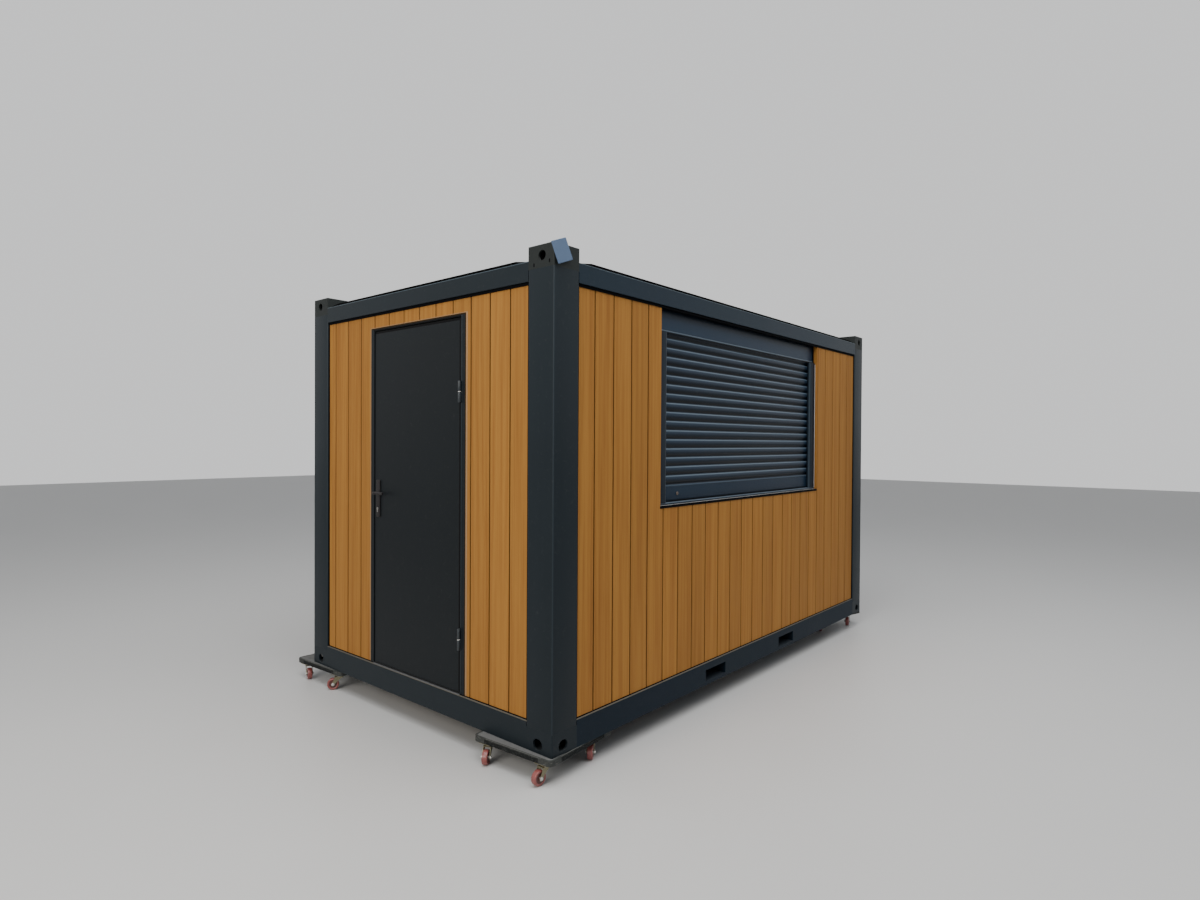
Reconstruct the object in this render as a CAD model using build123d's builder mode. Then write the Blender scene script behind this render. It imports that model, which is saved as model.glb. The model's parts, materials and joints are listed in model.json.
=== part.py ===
from build123d import *
import math
import os

# A kiosk office container standing on four flat dollies, in millimetres.
# X runs along the container, Y across it and Z up from the floor. The origin is on the floor
# under the middle of the container. The door end faces -X, the shutter side faces -Y.

# Container shell
length = 4200.0
width = 2400.0
height = 2600.0

# Corner posts and corner castings
post_side = 186.0
post_wall = 5.0
post_edge_radius = 8.0
casting_height = 118.0
casting_wall = 12.0
lift_slot = (124.0, 63.5)
lower_end_hole_inset = 103.0
lower_side_hole_inset = 82.0
upper_hole_inset = 87.0
lower_hole = (65.0, 58.0)
lower_hole_corner = 28.0
lower_hole_level = 45.0
upper_hole_radius = 26.0
upper_hole_drop = 55.0

# Bottom and top rails
rail_depth = 100.0
rail_wall = 4.0
bottom_rail_height = 142.0
top_rail_height = 103.0
casting_stand_up = 72.0

# Forklift pockets through both long bottom rails
pocket_x = 525.0
pocket_opening = (250.0, 76.0)
pocket_wall = 4.0
pocket_level = 60.0

# Floor, ceiling and roof
floor_board_thickness = 22.0
floor_beam_width = 60.0
floor_beam_height = 90.0
floor_beam_wall = 3.0
floor_beams_per_bay = 3
floor_beam_beside_pocket = 200.0
ceiling_thickness = 40.0
roof_beam_width = 50.0
roof_beam_wall = 3.0
roof_beam_count = 7
roof_sheet_thickness = 3.0
roof_edge_height = 18.0
roof_edge_thickness = 3.0
roof_set_back = 12.0
roof_edge_ramp = 110.0

# Walls: a panel with a skin of cladding boards, set back from the frame
wall_recess = 13.0
cladding_thickness = 12.0
panel_thickness = 68.0

# Door opening, its frame and its leaf
door_centre_y = -10.0
door_opening_width = 960.0
door_opening_drop = 105.0
door_frame_recess = 11.0
jamb_face = 35.0
head_face = 10.0
door_gap = 5.0
stop_width = 15.0
leaf_recess = 15.0
leaf_thickness = 45.0
threshold_height = 10.0
threshold_recess = 3.0

# Hinges
lower_hinge_rise = 465.0
upper_hinge_drop = 439.0
barrel_radius = 9.0
barrel_length = 60.0
washer_height = 3.0
washer_radius = 8.5
pin_radius = 5.0
pin_length = 54.0
pin_clearance = 0.05
hinge_clearance = 0.3
lug_thickness = 5.0

# Lever handle, its plates and its lock cylinder
handle_backset = 42.0
handle_level = 1262.0
plate_width = 42.0
plate_height = 240.0
plate_thickness = 8.0
plate_corner = 6.0
plate_drop = 37.0
lever_length = 120.0
lever_thickness = 18.0
lever_corner = 6.0
lever_reach = 46.0
neck_radius = 9.0
neck_clearance = 0.1
spindle_side = 8.0
spindle_tunnel_radius = 10.0
cylinder_drop = 102.0
cylinder_radius = 8.5
cylinder_web = 10.0
cylinder_height = 33.0
cylinder_stand_out = 3.0
cylinder_clearance = 0.3

# Roller shutter in the long side
shutter_from_door_end = 940.0
shutter_opening_width = 2260.0
shutter_sill_level = 1213.0
sill_thickness = 13.0
guide_width = 90.0
guide_recess = 33.0
guide_depth = 55.0
guide_slot_depth = 40.0
fascia_height = 151.0
shutter_box_recess = 50.0
shutter_box_depth = 165.0
shutter_box_wall = 3.0
curtain_recess = 62.0
slat_pitch = 57.0
slat_bulge = 7.0
slat_thickness = 8.0
curtain_clearance = 2.0
curtain_end_gap = 5.0
bottom_bar_height = 109.0
shutter_lock_inset = 250.0
shutter_lock_rise = 50.0
shutter_lock_radius = 11.0
shutter_lock_stand_out = 3.0

# Plate that hangs tilted before the hole of one upper corner casting, its lower edge leaning out
cover_width = 113.0
cover_height = 116.0
cover_thickness = 5.0
cover_gap = 7.0
cover_inset = 46.0
cover_drop = 39.0
cover_tilt = 21.6
cover_lean = 6.0
cover_pin_radius = 8.0
cover_pin_inset = 34.0
cover_pin_drop = 33.0

# Dollies: where each board's middle lies inside the corner above it, how the board is turned, and where
# each of its casters points
board_length = 540.0
board_width = 554.0
board_thickness = 30.0
board_corner_radius = 30.0
dolly_insets = {
    (-1, -1): (221.0, 275.0),
    (-1, 1): (248.0, 88.0),
    (1, -1): (140.0, 345.0),
    (1, 1): (255.0, 281.0),
}
dolly_turns = {(-1, -1): 4.0, (-1, 1): 3.0, (1, -1): -15.0, (1, 1): 0.0}
caster_headings = {
    (-1, -1): (178.0, 212.0, 215.0, 190.0),
    (-1, 1): (145.0, 250.0, 200.0, 215.0),
    (1, -1): (195.0, 190.0, 200.0, 220.0),
    (1, 1): (20.0, 35.0, 15.0, 25.0),
}
caster_height = 108.0
caster_front_inset = 45.0
caster_rear_inset = 105.0
caster_side_inset = 75.0
caster_plate_side = 84.0
caster_plate_thickness = 4.0
swivel_radius = 24.0
swivel_height = 12.0
crown_thickness = 4.0
wheel_radius = 40.0
wheel_width = 32.0
wheel_edge_radius = 5.0
caster_trail = 45.0
fork_wall = 3.0
fork_gap = 3.0
fork_end_radius = 12.0
fork_back = 24.0
fork_front = 34.0
axle_radius = 6.0
axle_end = 6.0
axle_clearance = 0.3

# Levels and planes that follow from the sizes above
base_z = board_thickness + caster_height
wall_bottom_z = base_z + bottom_rail_height
roof_z = base_z + height - casting_stand_up
wall_top_z = roof_z - top_rail_height
end_x = -length / 2
side_y = -width / 2
post_inner_x = length / 2 - post_side
post_inner_y = width / 2 - post_side
rail_inner_x = length / 2 - rail_depth
rail_inner_y = width / 2 - rail_depth
cladding_back = wall_recess + cladding_thickness
panel_back = cladding_back + panel_thickness
corners = [(sx, sy) for sx in (-1, 1) for sy in (-1, 1)]

os.makedirs("parts", exist_ok=True)


def block(x_range, y_range, z_range, mode=Mode.ADD):
    """A block between two X, two Y and two Z values, in the piece that is being built."""
    ranges = (x_range, y_range, z_range)
    with Locations(tuple(sum(ends) / 2 for ends in ranges)):
        Box(*[high - low for low, high in ranges], mode=mode)


def tube(start, direction, run, section, wall):
    """A rectangular tube with open ends, from a point along +X or +Y, in the piece being built."""
    across = (0, 1, 0) if direction == (1, 0, 0) else (-1, 0, 0)
    with BuildSketch(Plane(origin=start, x_dir=across, z_dir=direction)) as ring:
        Rectangle(*section)
        Rectangle(section[0] - 2 * wall, section[1] - 2 * wall, mode=Mode.SUBTRACT)
    extrude(to_extrude=ring.sketch, amount=run)


def corner_squares(edge_radius=0.0):
    """The four squares of the corner posts, with their outermost corner rounded."""
    with BuildSketch() as squares:
        with GridLocations(length - post_side, width - post_side, 2, 2):
            Rectangle(post_side, post_side)
        if edge_radius:
            outermost = [v for v in squares.vertices() if abs(v.X) + abs(v.Y) > (length + width) / 2 - 1]
            fillet(outermost, edge_radius)
    return squares.sketch


def save(piece, name):
    """Labels a finished piece and writes it to its file."""
    piece.part.label = name
    export_step(piece.part, f"parts/{name}.step")


# Corner castings: hollow blocks with a lifting slot and a hole in each outer face
def casting_shells(low_z):
    """The four hollow castings of one level, in the piece that is being built."""
    extrude(to_extrude=Plane.XY.offset(low_z) * corner_squares(post_edge_radius), amount=casting_height)
    inside = post_side - 2 * casting_wall
    with Locations((0, 0, low_z + casting_height / 2)):
        with GridLocations(length - post_side, width - post_side, 2, 2):
            Box(inside, inside, casting_height - 2 * casting_wall, mode=Mode.SUBTRACT)


def hole_planes(level, end_inset, side_inset):
    """Planes on the outer faces of the castings of one level, centred on their side holes."""
    planes = []
    for sx, sy in corners:
        in_end = (sx * length / 2, sy * (width / 2 - end_inset), level)
        in_side = (sx * (length / 2 - side_inset), sy * width / 2, level)
        planes.append(Plane(origin=in_end, x_dir=(0, 1, 0), z_dir=(sx, 0, 0)))
        planes.append(Plane(origin=in_side, x_dir=(1, 0, 0), z_dir=(0, sy, 0)))
    return planes


with BuildPart() as bottom_corner_castings:
    casting_shells(base_z)
    with BuildSketch(*hole_planes(base_z + lower_hole_level, lower_end_hole_inset, lower_side_hole_inset)):
        RectangleRounded(*lower_hole, lower_hole_corner)
    extrude(amount=-casting_wall, mode=Mode.SUBTRACT)
    with BuildSketch(Plane.XY.offset(base_z)):
        with GridLocations(length - post_side, width - post_side, 2, 2):
            SlotOverall(*lift_slot)
    extrude(amount=casting_wall, mode=Mode.SUBTRACT)
save(bottom_corner_castings, "bottom_corner_castings")

with BuildPart() as top_corner_castings:
    casting_shells(base_z + height - casting_height)
    with BuildSketch(*hole_planes(base_z + height - upper_hole_drop, upper_hole_inset, upper_hole_inset)):
        Circle(upper_hole_radius)
    extrude(amount=-casting_wall, mode=Mode.SUBTRACT)
    with BuildSketch(Plane.XY.offset(base_z + height)):
        with GridLocations(length - post_side, width - post_side, 2, 2):
            SlotOverall(*lift_slot)
    extrude(amount=-casting_wall, mode=Mode.SUBTRACT)
save(top_corner_castings, "top_corner_castings")

# Corner posts: square tubes between the castings
with BuildPart() as corner_posts:
    with BuildSketch(Plane.XY.offset(base_z + casting_height)):
        add(corner_squares(post_edge_radius))
        with GridLocations(length - post_side, width - post_side, 2, 2):
            Rectangle(post_side - 2 * post_wall, post_side - 2 * post_wall, mode=Mode.SUBTRACT)
    extrude(amount=height - 2 * casting_height)
save(corner_posts, "corner_posts")

# Bottom rails, the long ones cut for the forklift pockets
pocket_outer = (pocket_opening[0] + 2 * pocket_wall, pocket_opening[1] + 2 * pocket_wall)
pocket_z = base_z + pocket_level
for side, name in ((-1, "bottom_rail_shutter_side"), (1, "bottom_rail_back_side")):
    rail_y = side * (width - rail_depth) / 2
    with BuildPart() as long_rail:
        rail_start = (-post_inner_x, rail_y, base_z + bottom_rail_height / 2)
        tube(rail_start, (1, 0, 0), 2 * post_inner_x, (rail_depth, bottom_rail_height), rail_wall)
        with Locations((-pocket_x, rail_y, pocket_z), (pocket_x, rail_y, pocket_z)):
            Box(pocket_outer[0], rail_depth, pocket_outer[1], mode=Mode.SUBTRACT)
    save(long_rail, name)

with BuildPart() as bottom_end_rails:
    for side in (-1, 1):
        rail_start = (side * (length - rail_depth) / 2, -post_inner_y, base_z + bottom_rail_height / 2)
        tube(rail_start, (0, 1, 0), 2 * post_inner_y, (rail_depth, bottom_rail_height), rail_wall)
save(bottom_end_rails, "bottom_end_rails")

with BuildPart() as forklift_pockets:
    for x in (-pocket_x, pocket_x):
        tube((x, side_y, pocket_z), (0, 1, 0), width, pocket_outer, pocket_wall)
save(forklift_pockets, "forklift_pockets")

# Floor beams beside each pocket and evenly along the rest, and the floor board on them
last_pocket_beam = pocket_x + floor_beam_beside_pocket
beam_pitch = (rail_inner_x - last_pocket_beam) / (floor_beams_per_bay + 1)
beam_places = [pocket_x - floor_beam_beside_pocket, last_pocket_beam]
beam_places += [last_pocket_beam + beam_pitch * (i + 1) for i in range(floor_beams_per_bay)]
floor_beam_z = wall_bottom_z - floor_board_thickness - floor_beam_height / 2
with BuildPart() as floor_beams:
    for x in beam_places:
        for side in (-1, 1):
            beam_start = (side * x, -rail_inner_y, floor_beam_z)
            beam_section = (floor_beam_width, floor_beam_height)
            tube(beam_start, (0, 1, 0), 2 * rail_inner_y, beam_section, floor_beam_wall)
save(floor_beams, "floor_beams")

with BuildPart() as floor_board:
    with BuildSketch(Plane.XY.offset(wall_bottom_z - floor_board_thickness)):
        Rectangle(2 * rail_inner_x, 2 * rail_inner_y)
        add(corner_squares(), mode=Mode.SUBTRACT)
    extrude(amount=floor_board_thickness)
save(floor_board, "floor_board")

# Top rails, ceiling, roof beams and the sheet roof with its raised edge
with BuildPart() as top_long_rails:
    for side in (-1, 1):
        rail_start = (-post_inner_x, side * (width - rail_depth) / 2, wall_top_z + top_rail_height / 2)
        tube(rail_start, (1, 0, 0), 2 * post_inner_x, (rail_depth, top_rail_height), rail_wall)
save(top_long_rails, "top_long_rails")

with BuildPart() as top_end_rails:
    for side in (-1, 1):
        rail_start = (side * (length - rail_depth) / 2, -post_inner_y, wall_top_z + top_rail_height / 2)
        tube(rail_start, (0, 1, 0), 2 * post_inner_y, (rail_depth, top_rail_height), rail_wall)
save(top_end_rails, "top_end_rails")

with BuildPart() as ceiling_panel:
    with BuildSketch(Plane.XY.offset(wall_top_z)):
        Rectangle(2 * rail_inner_x, 2 * rail_inner_y)
        add(corner_squares(), mode=Mode.SUBTRACT)
    extrude(amount=ceiling_thickness)
save(ceiling_panel, "ceiling_panel")

roof_beam_height = top_rail_height - ceiling_thickness
roof_beam_pitch = 2 * rail_inner_x / (roof_beam_count + 1)
with BuildPart() as roof_beams:
    for i in range(roof_beam_count):
        beam_x = roof_beam_pitch * (i + 1) - rail_inner_x
        beam_start = (beam_x, -rail_inner_y, roof_z - roof_beam_height / 2)
        tube(beam_start, (0, 1, 0), 2 * rail_inner_y, (roof_beam_width, roof_beam_height), roof_beam_wall)
save(roof_beams, "roof_beams")

sheet_x = length / 2 - roof_set_back
sheet_y = width / 2 - roof_set_back


def raised_edge(outer, run, half_length):
    """A raised edge with ramped ends, from a point on its outer face, in the piece that is being built."""
    inwards = Vector(run).cross(Vector(0, 0, 1))
    if inwards.dot(Vector(outer)) > 0:
        inwards = -inwards
    with BuildSketch(Plane(origin=outer, x_dir=run, z_dir=inwards)) as profile:
        rise = roof_edge_height * (1 if profile.workplanes[0].y_dir.Z > 0 else -1)
        with BuildLine():
            flat = half_length - roof_edge_ramp
            Polyline((-half_length, 0), (-flat, rise), (flat, rise), (half_length, 0), close=True)
        make_face()
    extrude(to_extrude=profile.sketch, amount=roof_edge_thickness)


with BuildPart() as roof_sheet:
    with BuildSketch(Plane.XY.offset(roof_z)):
        Rectangle(2 * sheet_x, 2 * sheet_y)
        add(corner_squares(), mode=Mode.SUBTRACT)
    extrude(amount=roof_sheet_thickness)
    for side in (-1, 1):
        raised_edge((0, side * sheet_y, roof_z), (1, 0, 0), post_inner_x)
        raised_edge((side * sheet_x, 0, roof_z), (0, 1, 0), post_inner_y)
save(roof_sheet, "roof_sheet")

# Wall panels: the shutter side is split beside and under the shutter, the door end beside and over the door
wall_z = (wall_bottom_z, wall_top_z)
door_left_y = door_centre_y + door_opening_width / 2
door_right_y = door_centre_y - door_opening_width / 2
door_top_z = wall_top_z - door_opening_drop
sill_z = base_z + shutter_sill_level
shutter_left_x = end_x + shutter_from_door_end
shutter_right_x = shutter_left_x + shutter_opening_width
near_panel_y = (side_y + cladding_back, side_y + panel_back)
back_panel_y = (-side_y - panel_back, -side_y - cladding_back)
door_panel_x = (end_x + cladding_back, end_x + panel_back)
far_panel_x = (-end_x - panel_back, -end_x - cladding_back)
panels = {
    "shutter_wall_left_panel": ((-post_inner_x, shutter_left_x), near_panel_y, wall_z),
    "shutter_wall_right_panel": ((shutter_right_x, post_inner_x), near_panel_y, wall_z),
    "shutter_wall_lower_panel": ((shutter_left_x, shutter_right_x), near_panel_y, (wall_bottom_z, sill_z)),
    "back_wall_panel": ((-post_inner_x, post_inner_x), back_panel_y, wall_z),
    "far_end_wall_panel": (far_panel_x, (-post_inner_y, post_inner_y), wall_z),
    "door_wall_left_panel": (door_panel_x, (door_left_y, post_inner_y), wall_z),
    "door_wall_right_panel": (door_panel_x, (-post_inner_y, door_right_y), wall_z),
    "door_wall_top_panel": (door_panel_x, (door_right_y, door_left_y), (door_top_z, wall_top_z)),
}
for name, ranges in panels.items():
    with BuildPart() as panel:
        block(*ranges)
    save(panel, name)

# Cladding: one skin of boards on each wall, cut out for the shutter and the door
near_skin_y = (side_y + wall_recess, side_y + cladding_back)
back_skin_y = (-side_y - cladding_back, -side_y - wall_recess)
door_skin_x = (end_x + wall_recess, end_x + cladding_back)
far_skin_x = (-end_x - cladding_back, -end_x - wall_recess)

with BuildPart() as shutter_wall_cladding:
    block((-post_inner_x, post_inner_x), near_skin_y, wall_z)
    block((shutter_left_x, shutter_right_x), near_skin_y, (sill_z, wall_top_z), mode=Mode.SUBTRACT)
save(shutter_wall_cladding, "shutter_wall_cladding")

with BuildPart() as back_wall_cladding:
    block((-post_inner_x, post_inner_x), back_skin_y, wall_z)
save(back_wall_cladding, "back_wall_cladding")

with BuildPart() as far_end_cladding:
    block(far_skin_x, (-post_inner_y, post_inner_y), wall_z)
save(far_end_cladding, "far_end_cladding")

with BuildPart() as door_wall_cladding:
    block(door_skin_x, (-post_inner_y, post_inner_y), wall_z)
    block(door_skin_x, (door_right_y, door_left_y), (wall_bottom_z, door_top_z), mode=Mode.SUBTRACT)
save(door_wall_cladding, "door_wall_cladding")

# Door frame: two jambs and a head, with a stop behind the leaf
frame_front_x = end_x + door_frame_recess
leaf_front_x = end_x + leaf_recess
leaf_back_x = leaf_front_x + leaf_thickness
frame_back_x = end_x + panel_back
jamb_left_y = door_left_y - jamb_face
jamb_right_y = door_right_y + jamb_face
head_bottom_z = door_top_z - head_face
stop_x = (leaf_back_x + door_gap, frame_back_x)
with BuildPart() as door_frame:
    block((frame_front_x, frame_back_x), (door_right_y, door_left_y), (wall_bottom_z, door_top_z))
    clear_z = (wall_bottom_z, head_bottom_z)
    block((frame_front_x, stop_x[0]), (jamb_right_y, jamb_left_y), clear_z, mode=Mode.SUBTRACT)
    clear_y = (jamb_right_y + stop_width, jamb_left_y - stop_width)
    block(stop_x, clear_y, (wall_bottom_z, head_bottom_z - stop_width), mode=Mode.SUBTRACT)
save(door_frame, "door_frame")

threshold_top_z = wall_bottom_z + threshold_height
with BuildPart() as door_threshold:
    threshold_x = (end_x + threshold_recess, stop_x[0])
    block(threshold_x, (jamb_right_y, jamb_left_y), (wall_bottom_z, threshold_top_z))
    block(stop_x, clear_y, (wall_bottom_z, threshold_top_z))
save(door_threshold, "door_threshold")

# Door leaf with the tunnels of the handle spindle and the lock cylinder
leaf_left_y = jamb_left_y - door_gap
leaf_right_y = jamb_right_y + door_gap
leaf_z = (threshold_top_z + door_gap, head_bottom_z - door_gap)
handle_y = leaf_left_y - handle_backset
handle_z = base_z + handle_level
cylinder_z = handle_z - cylinder_drop


def cylinder_profile(x, grow=0.0):
    """The lock cylinder's outline on a plane across X: a round top over a narrow rounded web."""
    web_radius = cylinder_web / 2
    web_bottom = cylinder_radius + web_radius - cylinder_height
    with BuildSketch(Plane(origin=(x, handle_y, cylinder_z), x_dir=(0, 1, 0), z_dir=(1, 0, 0))) as outline:
        Circle(cylinder_radius + grow)
        with Locations((0, web_bottom)):
            Circle(web_radius + grow)
        with Locations((0, web_bottom / 2)):
            Rectangle(2 * (web_radius + grow), -web_bottom)
    return outline.sketch


def round_bar(x_range, radius, mode=Mode.ADD):
    """A round bar along X on the handle's axis, in the piece that is being built."""
    disc_plane = Plane(origin=(x_range[0], handle_y, handle_z), x_dir=(0, 1, 0), z_dir=(1, 0, 0))
    with BuildSketch(disc_plane) as disc:
        Circle(radius)
    extrude(to_extrude=disc.sketch, amount=x_range[1] - x_range[0], mode=mode)


with BuildPart() as door_leaf:
    block((leaf_front_x, leaf_back_x), (leaf_right_y, leaf_left_y), leaf_z)
    round_bar((leaf_front_x, leaf_back_x), spindle_tunnel_radius, mode=Mode.SUBTRACT)
    tunnel = cylinder_profile(leaf_front_x, cylinder_clearance)
    extrude(to_extrude=tunnel, amount=leaf_thickness, mode=Mode.SUBTRACT)
save(door_leaf, "door_leaf")

# Long plates on both faces of the leaf
with BuildPart() as handle_plates:
    for plate_x in (leaf_front_x - plate_thickness, leaf_back_x):
        plate_z = handle_z - plate_drop
        with BuildSketch(Plane(origin=(plate_x, handle_y, plate_z), x_dir=(0, 1, 0), z_dir=(1, 0, 0))):
            RectangleRounded(plate_width, plate_height, plate_corner)
        extrude(amount=plate_thickness)
        plate_span = (plate_x, plate_x + plate_thickness)
        round_bar(plate_span, neck_radius + neck_clearance, mode=Mode.SUBTRACT)
        tunnel = cylinder_profile(plate_x, cylinder_clearance)
        extrude(to_extrude=tunnel, amount=plate_thickness, mode=Mode.SUBTRACT)
save(handle_plates, "handle_plates")

# Lever handle: a neck and a grip on each face, joined by the spindle
outer_grip_x = leaf_front_x - lever_reach
inner_grip_x = leaf_back_x + lever_reach
with BuildPart() as lever_handle:
    round_bar((outer_grip_x, leaf_front_x), neck_radius)
    round_bar((leaf_back_x, inner_grip_x), neck_radius)
    with Locations(((outer_grip_x + inner_grip_x) / 2, handle_y, handle_z)):
        Box(inner_grip_x - outer_grip_x, spindle_side, spindle_side)
    grip_middle_y = handle_y + neck_radius - lever_length / 2
    for grip_x in (outer_grip_x, inner_grip_x):
        with BuildSketch(Plane(origin=(grip_x, grip_middle_y + lever_length / 2, handle_z), x_dir=(1, 0, 0),
                               z_dir=(0, -1, 0))):
            RectangleRounded(lever_thickness * 2 / 3, lever_thickness, lever_thickness / 4)
        extrude(amount=lever_length)
save(lever_handle, "lever_handle")

with BuildPart() as lock_cylinder:
    key_end_x = leaf_front_x - plate_thickness - cylinder_stand_out
    cylinder_length = leaf_thickness + 2 * (plate_thickness + cylinder_stand_out)
    extrude(to_extrude=cylinder_profile(key_end_x), amount=cylinder_length)
save(lock_cylinder, "lock_cylinder")

# Hinges: a barrel with a pin on the frame under a barrel on the leaf
hinge_x = frame_front_x - barrel_radius - hinge_clearance
hinge_y = leaf_right_y - door_gap / 2
hinge_middles = (base_z + lower_hinge_rise, door_top_z - upper_hinge_drop)
barrel_start = washer_height / 2
lug_near = barrel_radius - lug_thickness


def upright_round(low_z, high_z, radius, mode=Mode.ADD):
    """A round bar on the hinge axis between two levels, in the piece that is being built."""
    with Locations((hinge_x, hinge_y, (low_z + high_z) / 2)):
        Cylinder(radius, high_z - low_z, mode=mode)


with BuildPart() as frame_hinges:
    for middle in hinge_middles:
        barrel_z = (middle - barrel_start - barrel_length, middle - barrel_start)
        upright_round(*barrel_z, barrel_radius)
        upright_round(middle - barrel_start, middle + barrel_start, washer_radius)
        upright_round(middle, middle + pin_length, pin_radius)
        block((hinge_x, frame_front_x), (hinge_y - barrel_radius, hinge_y - lug_near), barrel_z)
save(frame_hinges, "frame_hinges")

with BuildPart() as leaf_hinges:
    for middle in hinge_middles:
        barrel_z = (middle + barrel_start + hinge_clearance, middle + barrel_start + barrel_length)
        upright_round(*barrel_z, barrel_radius)
        block((hinge_x, leaf_front_x), (hinge_y + lug_near, hinge_y + barrel_radius), barrel_z)
        bore_top = middle + pin_length + hinge_clearance
        upright_round(barrel_z[0], bore_top, pin_radius + pin_clearance, mode=Mode.SUBTRACT)
save(leaf_hinges, "leaf_hinges")

# Roller shutter: sill, guides, box, curtain of slats, bottom bar and its lock
guide_front_y = side_y + guide_recess
guide_back_y = guide_front_y + guide_depth
guide_z = (sill_z + sill_thickness, wall_top_z - fascia_height)
curtain_front_y = side_y + curtain_recess
curtain_back_y = curtain_front_y + slat_bulge + slat_thickness
slot_y = (curtain_front_y - curtain_clearance, curtain_back_y + curtain_clearance)
slot_left_x = shutter_left_x + guide_width - guide_slot_depth
slot_right_x = shutter_right_x - guide_width + guide_slot_depth
curtain_x = (slot_left_x + curtain_end_gap, slot_right_x - curtain_end_gap)
curtain_bottom_z = guide_z[0] + bottom_bar_height
slat_count = math.ceil((guide_z[1] - curtain_bottom_z) / slat_pitch)

with BuildPart() as shutter_sill:
    block((shutter_left_x, shutter_right_x), (guide_front_y, side_y + panel_back), (sill_z, guide_z[0]))
save(shutter_sill, "shutter_sill")

with BuildPart() as shutter_guides:
    block((shutter_left_x, shutter_left_x + guide_width), (guide_front_y, guide_back_y), guide_z)
    block((shutter_right_x - guide_width, shutter_right_x), (guide_front_y, guide_back_y), guide_z)
    block((slot_left_x, slot_right_x), slot_y, guide_z, mode=Mode.SUBTRACT)
save(shutter_guides, "shutter_guides")

with BuildPart() as shutter_box:
    box_y = (side_y + shutter_box_recess, side_y + shutter_box_recess + shutter_box_depth)
    block((shutter_left_x, shutter_right_x), box_y, (guide_z[1], wall_top_z))
    w = shutter_box_wall
    room_x = (shutter_left_x + w, shutter_right_x - w)
    room_y = (box_y[0] + w, box_y[1] - w)
    room_z = (guide_z[1] + w, wall_top_z - w)
    block(room_x, room_y, room_z, mode=Mode.SUBTRACT)
    block((slot_left_x, slot_right_x), slot_y, (guide_z[1], room_z[0]), mode=Mode.SUBTRACT)
save(shutter_box, "shutter_box")

with BuildPart() as shutter_curtain:
    curtain_top_z = curtain_bottom_z + slat_count * slat_pitch
    valley_y = curtain_front_y + slat_bulge
    with BuildSketch(Plane(origin=(curtain_x[0], 0, 0), x_dir=(0, 1, 0), z_dir=(1, 0, 0))):
        with BuildLine():
            for i in range(slat_count):
                low = curtain_bottom_z + i * slat_pitch
                crest = (curtain_front_y, low + slat_pitch / 2)
                ThreePointArc((valley_y, low), crest, (valley_y, low + slat_pitch))
            Polyline((valley_y, curtain_top_z), (curtain_back_y, curtain_top_z),
                     (curtain_back_y, curtain_bottom_z), (valley_y, curtain_bottom_z))
        make_face()
    extrude(amount=curtain_x[1] - curtain_x[0])
save(shutter_curtain, "shutter_curtain")

with BuildPart() as shutter_bottom_bar:
    block(curtain_x, (curtain_front_y, curtain_back_y), (guide_z[0], curtain_bottom_z))
save(shutter_bottom_bar, "shutter_bottom_bar")

with BuildPart() as shutter_lock:
    lock_centre = (shutter_left_x + shutter_lock_inset, curtain_front_y, guide_z[0] + shutter_lock_rise)
    with BuildSketch(Plane(origin=lock_centre, x_dir=(1, 0, 0), z_dir=(0, -1, 0))):
        Circle(shutter_lock_radius)
    extrude(amount=shutter_lock_stand_out)
save(shutter_lock, "shutter_lock")

# Plate hanging tilted on a pin before the hole of one upper casting
with BuildPart() as corner_cover_plate:
    tilt, lean = math.radians(cover_tilt), math.radians(cover_lean)
    plate_x_dir = (math.cos(tilt), 0, math.sin(tilt))
    plate_normal = (-math.sin(tilt) * math.sin(lean), -math.cos(lean), math.cos(tilt) * math.sin(lean))
    plate_origin = (end_x + cover_inset, side_y - cover_gap, base_z + height - cover_drop)
    with BuildSketch(Plane(origin=plate_origin, x_dir=plate_x_dir, z_dir=plate_normal)):
        Rectangle(cover_width, cover_height)
    extrude(amount=cover_thickness)
    pin_origin = (end_x + cover_pin_inset, side_y, base_z + height - cover_pin_drop)
    with BuildSketch(Plane(origin=pin_origin, x_dir=(1, 0, 0), z_dir=(0, -1, 0))):
        Circle(cover_pin_radius)
    extrude(amount=cover_gap + cover_thickness / 2)
save(corner_cover_plate, "corner_cover_plate")

# Dollies: four flat boards, each on four swivel casters
board_places = []
plate_seats = []
caster_seats = []
for corner in corners:
    inset_x, inset_y = dolly_insets[corner]
    centre_x = corner[0] * (length / 2 - inset_x)
    centre_y = corner[1] * (width / 2 - inset_y)
    place = Location((centre_x, centre_y, 0), (0, 0, dolly_turns[corner]))
    board_places.append(place)
    for (kx, ky), heading in zip(corners, caster_headings[corner]):
        inset = caster_front_inset if kx < 0 else caster_rear_inset
        king = (kx * (board_length / 2 - inset), ky * (board_width / 2 - caster_side_inset), 0)
        seat = Plane(place * Location(king))
        plate_seats.append(seat)
        ahead = (math.cos(math.radians(heading)), math.sin(math.radians(heading)), 0)
        caster_seats.append(Plane(origin=seat.origin, x_dir=ahead, z_dir=(0, 0, 1)))

with BuildPart() as dolly_boards:
    with BuildSketch(Plane.XY.offset(caster_height)):
        with Locations(*board_places):
            RectangleRounded(board_length, board_width, board_corner_radius)
    extrude(amount=board_thickness)
save(dolly_boards, "dolly_boards")

crown_top = caster_height - caster_plate_thickness - swivel_height
fork_inner = wheel_width / 2 + fork_gap
fork_outer = fork_inner + fork_wall


def across_plane(seat, offset):
    """A plane across a caster's axle: its X runs forward and its Y up."""
    origin = seat.from_local_coords((0, offset, 0))
    return Plane(origin=origin, x_dir=seat.x_dir, z_dir=-seat.y_dir)


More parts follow.
